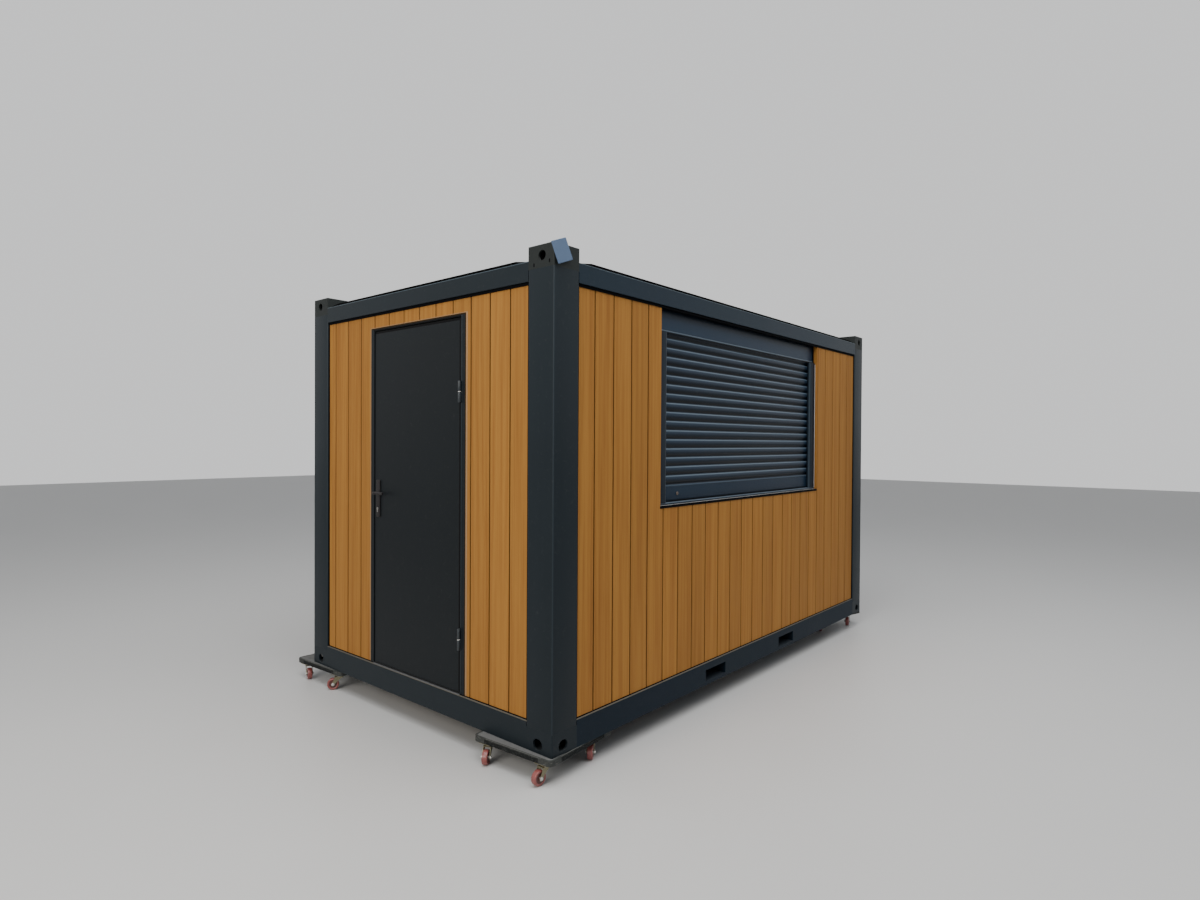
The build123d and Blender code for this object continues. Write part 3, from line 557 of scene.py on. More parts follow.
def make_finishes():
    """Every material of the container, by name."""
    tints = bpy.context.scene.container_colours
    return {
        "steel": painted_steel("anthracite_frame_paint", tints.steel, 0.4),
        "door": painted_steel("anthracite_door_paint", tints.door, 0.42),
        "shutter": painted_steel("anthracite_shutter_paint", tints.shutter, 0.34, 0.16),
        "boards": wood_boards("golden_boards", tints.board, tints.board_dark),
        "casting": painted_steel("cast_steel_paint", (0.0175, 0.021, 0.0205), 0.55, 0.16),
        # A bluer, paler copy of the frame paint: the paint with a painted sheen of cool light on the upper
        # long rails.
        "rail": painted_steel("upper_rail_paint", multiplied(tints.steel, (0.86, 1.15, 1.4)), 0.36),
        # A darker copy of the frame paint: painted shade on the lower rails and pockets.
        "lower_rail": painted_steel("lower_rail_paint", multiplied(tints.steel, (0.58, 0.78, 1.0)), 0.45,
                                    0.08),
        # A much paler copy of the frame paint, for painted highlights along edges.
        "worn": painted_steel("worn_edge_paint", multiplied(tints.steel, 4.2), 0.45, 0.3),
        "hinge": painted_steel("hinge_paint", multiplied(tints.door, 2.6), 0.35, 0.4),
        # Brown painted shadow beside and above the door frame.
        "shade": moulded("brown_joint", (0.035, 0.021, 0.009), 0.8, 0.3, 300, Specular_IOR_Level=0.05),
        # A paler copy of the boards: painted highlight on the cut strips round the door.
        "pale_boards": wood_boards("pale_cut_boards", (0.37, 0.225, 0.12), (0.31, 0.18, 0.085)),
        "panel": coated_sheet("light_coated_sheet", (0.68, 0.69, 0.68)),
        "floor": plywood("sealed_floor_plywood", (0.45, 0.31, 0.18)),
        # sides 0.95: painted shade that turns the roof's faces that don't look up nearly black.
        "roof": painted_steel("roof_paint", multiplied(tints.steel, 1.15), 0.55, 0.02, 0.95),
        "primer": painted_steel("grey_primer", (0.12, 0.12, 0.125), 0.6),
        # Near black, for trims that double as painted shadow, strips of painted shade and small dark bars.
        "gasket": moulded("dark_gasket", (0.004, 0.0042, 0.005), 0.75, 0.3, 700, 0.0003,
                          Specular_IOR_Level=0.03),
        "edge": moulded("tan_drip_edge", (0.12, 0.108, 0.085), 0.5, 0.3, 300, Specular_IOR_Level=0.3),
        "sealant": moulded("pale_sealant", (0.42, 0.43, 0.43), 0.5, 0.15, 300),
        "dull": bare_metal("dull_lock_metal", (0.16, 0.13, 0.11), 0.5, 0.7),
        "guide": painted_steel("guide_paint", multiplied(tints.shutter, 0.4), 0.36, 0.12),
        "sill": bare_metal("walked_on_aluminium", (0.15, 0.152, 0.155), 0.5, 0.8, grain=(1, 9, 9)),
        "handle": painted_steel("handle_powder_coat", (0.018, 0.0155, 0.0165), 0.34, 0.2),
        "nickel": bare_metal("satin_nickel", (0.42, 0.41, 0.38), 0.32),
        # Light blue-grey paint with a painted sheen of light from above.
        "cover": painted_steel("cover_plate_paint", tints.cover, 0.45),
        # Black rubber, also used for painted gap shadows round the door.
        "rubber": moulded("black_rubber", (0.005, 0.005, 0.0055), 0.7, Specular_IOR_Level=0.08),
        "rim": scuffed_highlit_rim("dark_rubber_rim", (0.011, 0.0125, 0.0125), (0.22, 0.225, 0.21)),
        "bracket": scuffed_highlit_rim("corner_bracket_paint", (0.045, 0.048, 0.046), (0.34, 0.34, 0.31)),
        "board_top": scuffed_board("dolly_board_top", (0.15, 0.152, 0.15), (0.06, 0.061, 0.06)),
        "zinc": bare_metal("yellow_zinc_plate", tints.zinc, 0.36, 0.8),
        "tread": moulded("red_polyurethane", tints.wheel, 0.36, 0.2, 500, 0.0001, Coat_Weight=0.25,
                         Subsurface_Weight=0.05),
        "core": moulded("dark_red_core", multiplied(tints.wheel, 0.35), 0.5),
        "steel_bolts": bare_metal("bright_bolts", (0.5, 0.5, 0.48), 0.4, 0.8),
        "white": moulded("white_nylon", (0.78, 0.77, 0.74), 0.35),
        "brush": moulded("brush_fibre", (0.02, 0.022, 0.025), 0.85, 0.4, 1500, 0.0008),
    }


def dress(node, finish):
    """Gives a packed node a finish in every one of its material slots."""
    data = frame["nodes"][node].data
    if not data.materials:
        data.materials.append(finishes[finish])
    for place in range(len(data.materials)):
        data.materials[place] = finishes[finish]


# Frame, roof, room

class CONTAINER_OT_frame(bpy.types.Operator):
    """Paints the steel frame and adds its weld seams"""
    bl_idname = "container.frame"
    bl_label = "Frame and welds"

    def execute(self, context):
        paints = {
            "casting": ("top_corner_castings",),
            "steel": ("bottom_corner_castings", "corner_posts", "bottom_end_rails", "top_end_rails"),
            # Lower rails and pockets: frame paint darkened as painted shade.
            "lower_rail": ("bottom_rail_shutter_side", "bottom_rail_back_side", "forklift_pockets"),
            # Upper long rails: frame paint with a painted sheen of cool light.
            "rail": ("top_long_rails",),
            "primer": ("floor_beams", "roof_beams"),
            "roof": ("roof_sheet",),
            "panel": ("ceiling_panel", "shutter_wall_left_panel", "shutter_wall_right_panel",
                      "shutter_wall_lower_panel", "back_wall_panel", "far_end_wall_panel",
                      "door_wall_left_panel", "door_wall_right_panel", "door_wall_top_panel"),
            "floor": ("floor_board",),
        }
        for finish, nodes in paints.items():
            for node in nodes:
                dress(node, finish)
        self.welds()
        self.edges()
        return {"FINISHED"}

    def edges(self):
        """A painted highlight along the top of each upper rail: a thin rounded bar of much paler paint."""
        worn, inwards, down, proud, rise = Surface(), 0.006, 0.0042, 0.0006, 0.0004
        for node, along in (("top_long_rails", 0), ("top_end_rails", 1)):
            low, high = node_box(node)
            outwards = 1 - along
            for sign, face in ((-1, low[outwards]), (1, high[outwards])):
                start, end = np.zeros(3), np.zeros(3)
                start[along], end[along] = low[along], high[along]
                start[outwards], end[outwards] = face - sign * inwards, face + sign * proud
                start[2], end[2] = high[2] - down, high[2] + rise
                worn.bar(start, end, along, 0.0015)
        worn.build("worn_rail_edges", "container", "frame_paint", "worn")

    def welds(self):
        """Posts folded from sheet with rounded edges, with a painted highlight, paler where dark = -0.75 sin
        t round each edge, a weld seam where each meets its castings, and two small near-black bars under the
        nearest upper casting."""
        seams, posts = Surface(), Surface()
        for post in solids("corner_posts"):
            low, high = extent(post)
            middle, half = (low + high) / 2, (high - low) / 2
            # Painted highlight: paler round each rounded edge.
            worn = -0.75 * np.tile(np.sin(np.linspace(0, math.pi, 6)), 4)
            posts.bar(low, high, 2, 0.007, 0.0005, 5, dark=worn)
            for level in (low[2], high[2]):
                seams.grid(seam(middle[:2], half[:2], level), ring=True)
        posts.build("folded_corner_posts", "container", "frame_paint", "steel", ("corner_posts",))
        seams.build("casting_weld_seams", "container", "frame_paint", "steel")
        # Two small near-black bars on the nearest upper casting.
        dark_bars, half_width, height, proud, back = Surface(), 0.0045, 0.02, 0.0004, 0.003
        low = min(solids("top_corner_castings"), key=lambda points: points[:, :2].mean()).min(0)
        for across, rise in ((0.034, 0.018), (0.145, 0.010)):
            y, z = low[1] + across, low[2] + rise
            dark_bars.bar((low[0] - proud, y - half_width, z), (low[0] + back, y + half_width, z + height), 0,
                     0.004, 0.0003)
        dark_bars.build("casting_weld_gaps", "container", "frame_paint", "gasket")


def seam(middle, half, level):
    """A low weld bead round a square post: a flat half-oval profile carried round a rounded square just
    inside the post's faces, its height rippled by 1 + 0.25 sin(t / 4 mm)."""
    count, corner, sunk, wide, tall, ripple = 360, 0.012, 0.0012, 0.0011, 0.004, 0.004
    loop = rounded_loop(half[0], half[1], corner, 6)
    closed = np.concatenate((loop, loop[:1]))
    run = np.concatenate(([0], np.cumsum(np.linalg.norm(np.diff(closed, axis=0), axis=1))))
    at = np.linspace(0, run[-1], count, endpoint=False)
    places = np.stack((np.interp(at, run, closed[:, 0]), np.interp(at, run, closed[:, 1])), -1)
    ahead = np.roll(places, -1, 0) - np.roll(places, 1, 0)
    ahead /= np.linalg.norm(ahead, axis=1)[:, None]
    out = np.stack((ahead[:, 1], -ahead[:, 0]), -1)
    turn = np.linspace(0, 2 * math.pi, 8, endpoint=False)
    swell = 1 + 0.25 * np.sin(at / ripple)
    push = np.outer(swell, wide * np.cos(turn)) - sunk
    rise = np.broadcast_to(tall * np.sin(turn), push.shape)
    points = np.empty(push.shape + (3,))
    points[..., :2] = middle + places[:, None] + push[..., None] * out[:, None]
    points[..., 2] = level + rise
    return points


# Boards

class CONTAINER_OT_boards(bpy.types.Operator):
    """Clads the four walls with upright boards"""
    bl_idname = "container.boards"
    bl_label = "Cladding boards"

    def execute(self, context):
        sizes = context.scene.container_boards
        sill_low, sill_high = node_box("shutter_sill")
        shutter_hole = (sill_low[0], sill_high[0], sill_low[2], node_box("shutter_box")[1][2])
        door_low, door_high = node_box("door_frame")
        door_hole = (door_low[1], door_high[1], door_low[2], door_high[2])
        side = (sizes.side_first, sizes.side_pitch)
        end = (sizes.end_first, sizes.end_pitch)
        self.wall(sizes, "shutter_wall_cladding", 0, -1, side, False, shutter_hole)
        self.wall(sizes, "back_wall_cladding", 0, 1, side, False, None)
        self.wall(sizes, "door_wall_cladding", 1, -1, end, True, door_hole)
        self.wall(sizes, "far_end_cladding", 1, 1, end, True, None)
        self.jambs(door_hole)
        return {"FINISHED"}

    def jambs(self, hole):
        """Cut strips of board round the door frame in a paler copy of the boards, a painted highlight, with
        dark strips of painted shadow between them and the frame. Each is a thin bar on the boards, and no
        two stand equally proud where they meet."""
        face = node_box("door_wall_cladding")[0][0]
        clear, joint, head_joint = 0.0004, 0.006, 0.008
        near, far = hole[0] - joint, hole[1] + joint
        foot, joint_top, top = hole[2] + 0.008, hole[3] + head_joint, hole[3] + 0.012
        strips, joints = Surface(), Surface()
        # Painted highlight: pale strips of board beside and above the frame.
        strips.strip(face, 0.0007, (hole[0] - 0.020, foot), (near, top), 2)
        strips.strip(face, 0.0007, (far, foot), (hole[1] + 0.015, top), 2)
        strips.strip(face, 0.0006, (near, joint_top), (far, top), 1)
        # Painted shadow: dark strips between the pale strips and the frame.
        joints.strip(face, 0.0005, (near, foot), (hole[0] - clear, joint_top), 2)
        joints.strip(face, 0.0005, (hole[1] + clear, foot), (far, joint_top), 2)
        joints.strip(face, 0.0004, (near, hole[3] + clear), (far, joint_top), 1)
        strips.build("door_side_strips", "container", "cladding_boards", "pale_boards")
        joints.build("door_side_joints", "container", "cladding_boards", "shade")

    def wall(self, sizes, node, along, out_sign, start, from_high, hole):
        """One wall of boards, each a profile carried straight up. along is the axis that the boards are
        counted on, and no board is narrower than the least width."""
        low, high = node_box(node)
        least = 0.01
        count = int((high[along] - low[along]) / start[1]) + 1
        steps = start[0] + start[1] * np.arange(count)
        edges = high[along] - steps if from_high else low[along] + steps
        edges = np.sort(edges[(edges > low[along] + least) & (edges < high[along] - least)])
        edges = np.concatenate(([low[along]], edges, [high[along]]))
        tones = np.random.default_rng(len(node)).random(len(edges))
        surface = Surface()
        face = low[1 - along] if out_sign < 0 else high[1 - along]
        thickness = high[1 - along] - low[1 - along]
        for first, last, tone in zip(edges[:-1], edges[1:], tones):
            for a, b, bottom, top in cut_pieces(first, last, low[2], high[2], hole):
                profile, dark = board_profile(a, b, thickness, sizes, a == first, b == last)
                places = np.zeros((2, 3))
                places[:, 1 - along] = face
                places[:, 2] = (bottom, top)
                side = np.eye(3)[along]
                inward = -out_sign * np.eye(3)[1 - along]
                surface.grid(carried(profile, places, side, inward), tone=tone, dark=dark)
        name = node.replace("cladding", "boards")
        surface.build(name, "container", "cladding_boards", "boards", (node,), smooth=0.3)
        self.trim(sizes, node, along, out_sign, low, high)
        if node == "shutter_wall_cladding":
            self.reveals(low[1], hole)

    def reveals(self, face, hole):
        """Boards turned into the shutter opening: a brown strip over each cut edge of the wall, a thin pale
        bead of sealant where it meets the guide, and near-black strips of painted shade beside the box and
        before the sill. Each is a bar between two of the distances that the edge's X has added to it."""
        guide_low, guide_high = node_box("shutter_guides")
        box_low = node_box("shutter_box")[0]
        foot, head, guide_top, guide_y, box_y = hole[2], hole[3], guide_high[2], guide_low[1], box_low[1]
        brown, bead, joint = Surface(), Surface(), Surface()
        for edge, inwards in ((hole[0], 1), (hole[1], -1)):
            skin, bead_near, bead_far, joint_near, joint_far = edge + inwards * np.array(
                (0.0022, 0.0018, 0.0052, 0.0012, 0.012))
            for bottom, top, back in ((foot, guide_top, guide_y), (guide_top, head, box_y)):
                brown.bar((edge, face + 0.001, bottom), (skin, back, top), 2, 0.0006, tone=0.3)
            bead.bar((bead_near, guide_y - 0.0035, foot + 0.012),
                     (bead_far, guide_y + 0.001, guide_top - 0.01), 2, 0.0015)
            # Painted shade: a near-black strip over the recess beside the box.
            joint.bar((joint_near, box_y - 0.005, box_low[2] - 0.002), (joint_far, box_y + 0.001, head), 2,
                      0.0015)
        # Painted shadow: a near-black strip under the sill's nose.
        joint.bar((hole[0] - 0.004, face - 0.004, foot - 0.015),
                  (hole[1] + 0.004, face + 0.002, foot + 0.001), 0, 0.0012)
        brown.build("opening_reveals", "container", "cladding_boards", "boards")
        bead.build("reveal_sealant", "container", "wall_panel", "sealant")
        joint.build("box_side_joints", "container", "frame_paint", "gasket")

    def trim(self, sizes, node, along, out_sign, low, high):
        """A dark trim strip up both sides, along the top and just above the foot of one wall, which also
        paints the shadow beside the posts and under the top rail, and a lighter drip edge along its foot.
        Each is a bar that stands a little before the boards."""
        outwards, back, corner = 1 - along, 0.003, 0.0012
        face = low[outwards] if out_sign < 0 else high[outwards]
        strips, drip = Surface(), Surface()

        def strip(surface, a, b, bottom, top, proud, axis):
            """Adds a bar that reaches from behind the face to its proud front."""
            start, end = np.zeros(3), np.zeros(3)
            start[along], end[along] = a, b
            start[outwards], end[outwards] = face - out_sign * back, face + out_sign * proud
            start[2], end[2] = bottom, top
            surface.bar(start, end, axis, corner)

        # Dark trim that also stands as painted shadow beside the posts and under the top rail.
        strip(strips, low[along], low[along] + sizes.trim, low[2], high[2], 0.004, 2)
        strip(strips, high[along] - sizes.trim, high[along], low[2], high[2], 0.004, 2)
        strip(strips, low[along], high[along], high[2] - 1.5 * sizes.trim, high[2], 0.005, along)
        strip(strips, low[along], high[along], low[2] + 0.004, low[2] + 0.010, 0.003, along)
        strip(drip, low[along], high[along], low[2], low[2] + 0.0042, 0.0105, along)
        strips.build(node.replace("cladding", "edge_trim"), "container", "frame_paint", "gasket")
        drip.build(node.replace("cladding", "drip_edge"), "container", "frame_paint", "edge")


def cut_pieces(first, last, bottom, top, hole):
    """The straight pieces of one board round an opening (low, high, sill, head): those beside it, below
    and above it that aren't thinner than the least height."""
    if hole is None or last <= hole[0] or first >= hole[1]:
        return [(first, last, bottom, top)]
    least = 0.002
    a, b = max(first, hole[0]), min(last, hole[1])
    pieces = ((first, hole[0], bottom, top), (hole[1], last, bottom, top), (a, b, bottom, hole[2]),
              (a, b, hole[3], top))
    return [piece for piece in pieces if piece[0] < piece[1] and piece[2] + least < piece[3]]


def board_side(at, inwards, thickness, sizes, is_joint):
    """Half of a board's outline, from the back of one side to its face, and how dark each point is as
    painted shade: half an open joint, closed by a tongue, with a sloped edge, or a plain edge where the
    board is cut."""
    if not is_joint:
        return [(at, thickness), (at, 0)], [1, 0]
    wall, slope = at + inwards * sizes.gap / 2, sizes.chamfer
    return [(at, thickness), (at, sizes.tongue), (wall, sizes.tongue), (wall, slope),
            (wall + inwards * slope, 0)], [1, 1, 1, 0.7, 0]


def board_profile(a, b, thickness, sizes, open_low, open_high):
    """A board's outline across its width, and how dark each of its points is. Depth grows inwards from the
    face."""
    left, left_dark = board_side(a, 1, thickness, sizes, open_low)
    right, right_dark = board_side(b, -1, thickness, sizes, open_high)
    return left + right[::-1], np.array(left_dark + right_dark[::-1], float)


# Door

class CONTAINER_OT_door(bpy.types.Operator):
    """Finishes the door, its frame, hinges, seal and threshold"""
    bl_idname = "container.door"
    bl_label = "Door and frame"

    def execute(self, context):
        dress("door_leaf", "door")
        dress("door_frame", "door")
        self.threshold()
        self.hinges()
        self.seal()
        self.latch()
        return {"FINISHED"}

    def threshold(self):
        """The threshold strip: a flat bar with fine ribs along it, its top a row of small arcs."""
        low, high = node_box("door_threshold")
        ribs, rise, sunk, near, far = 9, 0.0011, 0.0012, 0.002, 0.010
        t = np.linspace(0, 1, ribs * 6 + 1)
        x = low[0] + near + t * (high[0] - low[0] - near - far)
        z = high[2] - sunk + rise * np.abs(np.sin(t * ribs * math.pi))
        x = np.concatenate(([low[0]] * 2, x, [high[0]] * 2))
        z = np.concatenate(([low[2], high[2] - 0.002], z, [high[2] - 0.001, low[2]]))
        places = ((0, low[1], 0), (0, high[1], 0))
        surface = Surface().grid(carried(np.stack((x, z), -1), places, ALONG_X, UP))
        surface.build("threshold_strip", "container", "bare_metal", "sill", ("door_threshold",))

    def hinges(self):
        """Turned hinge barrels with rounded rims, their lugs, and a pale washer between the halves."""
        frame_side, leaf_side, washers = Surface(), Surface(), Surface()
        centre = np.array((*joint_place("door_hinge")[:2], 0.0))
        for points in solids("frame_hinges"):
            bottom = points[:, 2].min()
            top = barrel_top(bottom)
            frame_side.grid(turned(barrel_outline(bottom, top), centre, UP))
            frame_side.bar(*lug(centre, -1, bottom, top), 2, 0.0015)
            washer = [(0.0083, top), (0.0088, top + 0.0006), (0.0088, top + 0.0024), (0.0083, top + 0.003)]
            washers.grid(turned(washer, centre, UP))
        for points in solids("leaf_hinges"):
            bottom, top = points[:, 2].min(), points[:, 2].max()
            leaf_side.grid(turned(barrel_outline(bottom, top), centre, UP))
            leaf_side.bar(*lug(centre, 1, bottom, top), 2, 0.0015)
        frame_side.build("frame_hinge_barrels", "container", "door_paint", "hinge", ("frame_hinges",))
        leaf_side.build("leaf_hinge_barrels", "door", "door_paint", "hinge", ("leaf_hinges",))
        washers.build("hinge_washers", "container", "bare_metal", "white")

    def seal(self):
        """A soft rubber lip on the stop round the opening behind the leaf, black strips of painted shadow
        beside and above the leaf, a pale band of painted highlight on its hinge side, and a black strip of
        painted shadow on the leaf's own edges."""
        leaf_low, leaf_high = node_box("door_leaf")
        sill = node_box("door_threshold")[1][2]
        front, outer = node_box("door_frame")[0][0], leaf_low[0]
        x, thick, wide = leaf_high[0] + 0.0005, 0.0045, 0.008
        y0, y1, z1 = leaf_low[1] - 0.001, leaf_high[1] + 0.001, leaf_high[2] + 0.001
        surface, band, leaf_shadow_strips = Surface(), Surface(), Surface()
        surface.bar((x, y0, sill), (x + thick, y0 + wide, z1), 2, 0.002)
        surface.bar((x, y1 - wide, sill), (x + thick, y1, z1), 2, 0.002)
        surface.bar((x, y0, z1 - wide), (x + thick, y1, z1), 1, 0.002)
        flat = {"back": 0.002, "corner": 0.0006}
        # Painted shadow: black strips beside and above the leaf.
        surface.strip(front, 0.0007, (y1 + 0.0045, sill), (y1 + 0.0075, z1 + 0.012), 2, **flat)
        surface.strip(front, 0.0007, (y0 - 0.014, z1 + 0.0035), (y1 + 0.010, z1 + 0.0125), 1, **flat)
        # Painted highlight: a pale band of frame paint on the hinge side.
        band.strip(front, 0.0008, (y0 - 0.017, sill), (y0 - 0.004, z1 + 0.012), 2, **flat)
        clear, side, top = 0.0004, leaf_low[1] + 0.015, leaf_high[2] - 0.0004
        # Painted shadow: black strips on the leaf's own edges.
        leaf_shadow_strips.strip(outer, 0.0004, (leaf_low[1] + clear, leaf_low[2] + 0.004), (side, top), 2, **flat)
        leaf_shadow_strips.strip(outer, 0.0003, (side, leaf_high[2] - 0.014), (leaf_high[1] - clear, top), 1, **flat)
        surface.build("door_seal", "container", "door_paint", "rubber")
        band.build("worn_jamb_edge", "container", "door_paint", "steel")
        leaf_shadow_strips.build("leaf_edge_lips", "door", "door_paint", "rubber")

    def latch(self):
        """The latch and its face plate in the leaf's edge, and the strike plate on the frame: flat bars
        about the middle of the edge at the lever's level."""
        low, high = node_box("door_leaf")
        handle = node_box("lever_handle")
        middle = np.array(((low[0] + high[0]) / 2, high[1], (handle[0][2] + handle[1][2]) / 2))
        plate, strike, flat = Surface(), Surface(), (1, 0.004, 0.0004)
        plate.bar(middle + (-0.010, -0.001, -0.17), middle + (0.010, 0.0006, 0.06), *flat)
        plate.bar(middle + (-0.006, -0.004, -0.014), middle + (0.006, 0.0042, 0.014), 1, 0.002)
        strike.bar(middle + (-0.011, 0.0044, -0.05), middle + (0.011, 0.0056, 0.05), *flat)
        plate.build("latch_and_face_plate", "door", "cylinder_metal", "nickel")
        strike.build("strike_plate", "container", "cylinder_metal", "nickel")


def joint_place(name):
    """A point on a joint's axis."""
    return next(joint["pos_m"] for joint in frame["record"]["behaviour"]["joints"] if joint["name"] == name)


def barrel_top(bottom):
    """The upper end of a frame-side barrel, a washer under the leaf's barrel above it."""
    above = min(solids("leaf_hinges"), key=lambda points: abs(points[:, 2].min() - bottom))
    return above[:, 2].min() - 0.0033


def barrel_outline(low, high):
    """A barrel's (radius, height) outline with rounded rims."""
    return [(0.0075, low), (0.0085, low + 0.0004), (0.009, low + 0.0014), (0.009, high - 0.0014),
            (0.0085, high - 0.0004), (0.0075, high)]


def lug(centre, side, low, high):
    """The corners of the flat lug that joins a barrel to the frame (-1) or the leaf (1)."""
    reach = node_box("door_frame" if side < 0 else "door_leaf")[0][0]
    near, far, inset = side * 0.004, side * 0.009, 0.0008
    return (centre[0], centre[1] + near, low + inset), (reach, centre[1] + far, high - inset)


class CONTAINER_OT_handle(bpy.types.Operator):
    """Makes the long plates, the lever and the lock cylinder"""
    bl_idname = "container.handle"
    bl_label = "Handle and lock"

    def execute(self, context):
        """The plates are bars with rounded edges, and a turned rose and two turned screws stand on each."""
        leaf_low, leaf_high = node_box("door_leaf")
        plate_low, plate_high = node_box("handle_plates")
        y, z = joint_place("lever_turn")[1:]
        plates, rounded, margin = Surface(), (0, 0.007, 0.0035, 5), 0.014
        plates.bar(plate_low, (leaf_low[0], *plate_high[1:]), *rounded)
        plates.bar((leaf_high[0], *plate_low[1:]), plate_high, *rounded)
        rose = [(0.0145, -0.001), (0.0145, 0.0024), (0.0135, 0.0034), (0.0105, 0.0038)]
        screw = [(0.0042, -0.001), (0.0042, 0.0006), (0.003, 0.0014)]
        for x, out in ((plate_low[0], (-1, 0, 0)), (plate_high[0], (1, 0, 0))):
            plates.grid(turned(rose, (x, y, z), out))
            for level in (plate_low[2] + margin, plate_high[2] - margin):
                plates.grid(turned(screw, (x, y, level), out, 16))
        plates.build("long_handle_plates", "door", "handle_paint", "handle", ("handle_plates",))
        self.lever(y, z)
        self.cylinder()
        return {"FINISHED"}

    def lever(self, y, z):
        """Each grip is an oval profile carried out along the neck, round a bend and along to its tip: round
        at the neck, wide and low 3 cm along, and drawn in at the tip. The oval's points are the powers
        2 / bulge of cos t and sin t. A square spindle joins the two through the leaf."""
        low, high = node_box("lever_handle")
        leaf_low, leaf_high = node_box("door_leaf")
        reach, bend, bulge, spread = y - low[1], 0.013, 2.6, 0.03
        neck, grip_width, grip_height = 0.0085, 0.0058, 0.0088
        depth, lead, spindle, tip = 0.0065, 0.004, 0.004, 0.0008
        turn = np.linspace(0, math.pi / 2, 9)
        around = np.linspace(0, 2 * math.pi, 24, endpoint=False)
        oval_a, oval_b = (np.sign(v) * np.abs(v) ** (2 / bulge) for v in (np.cos(around), np.sin(around)))
        surface = Surface()
        for out, start, end in ((-1, leaf_low[0] + 0.015, low[0]), (1, leaf_high[0] - 0.015, high[0])):
            grip = end - out * depth
            straight = np.array([(start, 0.0), (grip - out * (bend + lead), 0.0)])
            curve = np.stack((grip - out * bend + out * bend * np.sin(turn), -bend * (1 - np.cos(turn))), -1)
            tail = np.stack((np.full(7, grip), -bend - (reach - bend) * np.linspace(0.08, 0.985, 7)), -1)
            tips = np.array([(grip, -reach + tip), (grip, -reach)])
            path = np.concatenate((straight, curve, tail, tips))
            ahead = np.gradient(path, axis=0)
            ahead /= np.linalg.norm(ahead, axis=1)[:, None]
            places = np.stack((path[:, 0], y + path[:, 1], np.full(len(path), z)), -1)
            side = np.stack((-ahead[:, 1], ahead[:, 0], np.zeros(len(path))), -1)
            share = np.clip(-path[:, 1] / spread, 0, 1)
            width = neck + (grip_width - neck) * share
            height = neck + (grip_height - neck) * share
            width[-2:] *= (0.8, 0.5)
            height[-2:] *= (0.85, 0.6)
            surface.grid(places[:, None] + np.outer(width, oval_a)[..., None] * side[:, None]
                         + np.outer(height, oval_b)[..., None] * UP)
        surface.bar((leaf_low[0] + 0.010, y - spindle, z - spindle),
                    (leaf_high[0] - 0.010, y + spindle, z + spindle), 0, 0.0005)
        surface.build("lever_and_grips", "lever", "handle_paint", "handle", ("lever_handle",))

    def cylinder(self):
        """The lock cylinder: a round top over a narrow web, an outline of two arcs pushed through the leaf,
        with a key slot in each face."""
        low, high = node_box("lock_cylinder")
        radius, web = (high[1] - low[1]) / 2, 0.005
        y, top = (low[1] + high[1]) / 2, high[2] - radius
        foot = low[2] + web - top
        start = math.acos(web / radius)
        round_top = np.linspace(-start, math.pi + start, 25)
        foot_turn = np.linspace(math.pi, 2 * math.pi, 11)
        outline = np.concatenate((np.stack((radius * np.cos(round_top), radius * np.sin(round_top)), -1),
                                  np.stack((web * np.cos(foot_turn), foot + web * np.sin(foot_turn)), -1)))
        body = Surface().grid(prism(outline, (low[0], y, top), ALONG_Y, UP, ALONG_X, high[0] - low[0]))
        body.build("lock_cylinder_body", "door", "cylinder_metal", "nickel", ("lock_cylinder",))
        # Each key slot is a thin black bar: painted shade where the slot opens.
        slots, proud, wide = Surface(), 0.0002, 0.0009
        for x in (low[0], high[0]):
            slots.bar((x - proud, y - wide, top - 0.005), (x + proud, y + wide, top + 0.004), 0, 0.0008)
        slots.build("key_slots", "door", "cylinder_metal", "rubber")


# Roller shutter

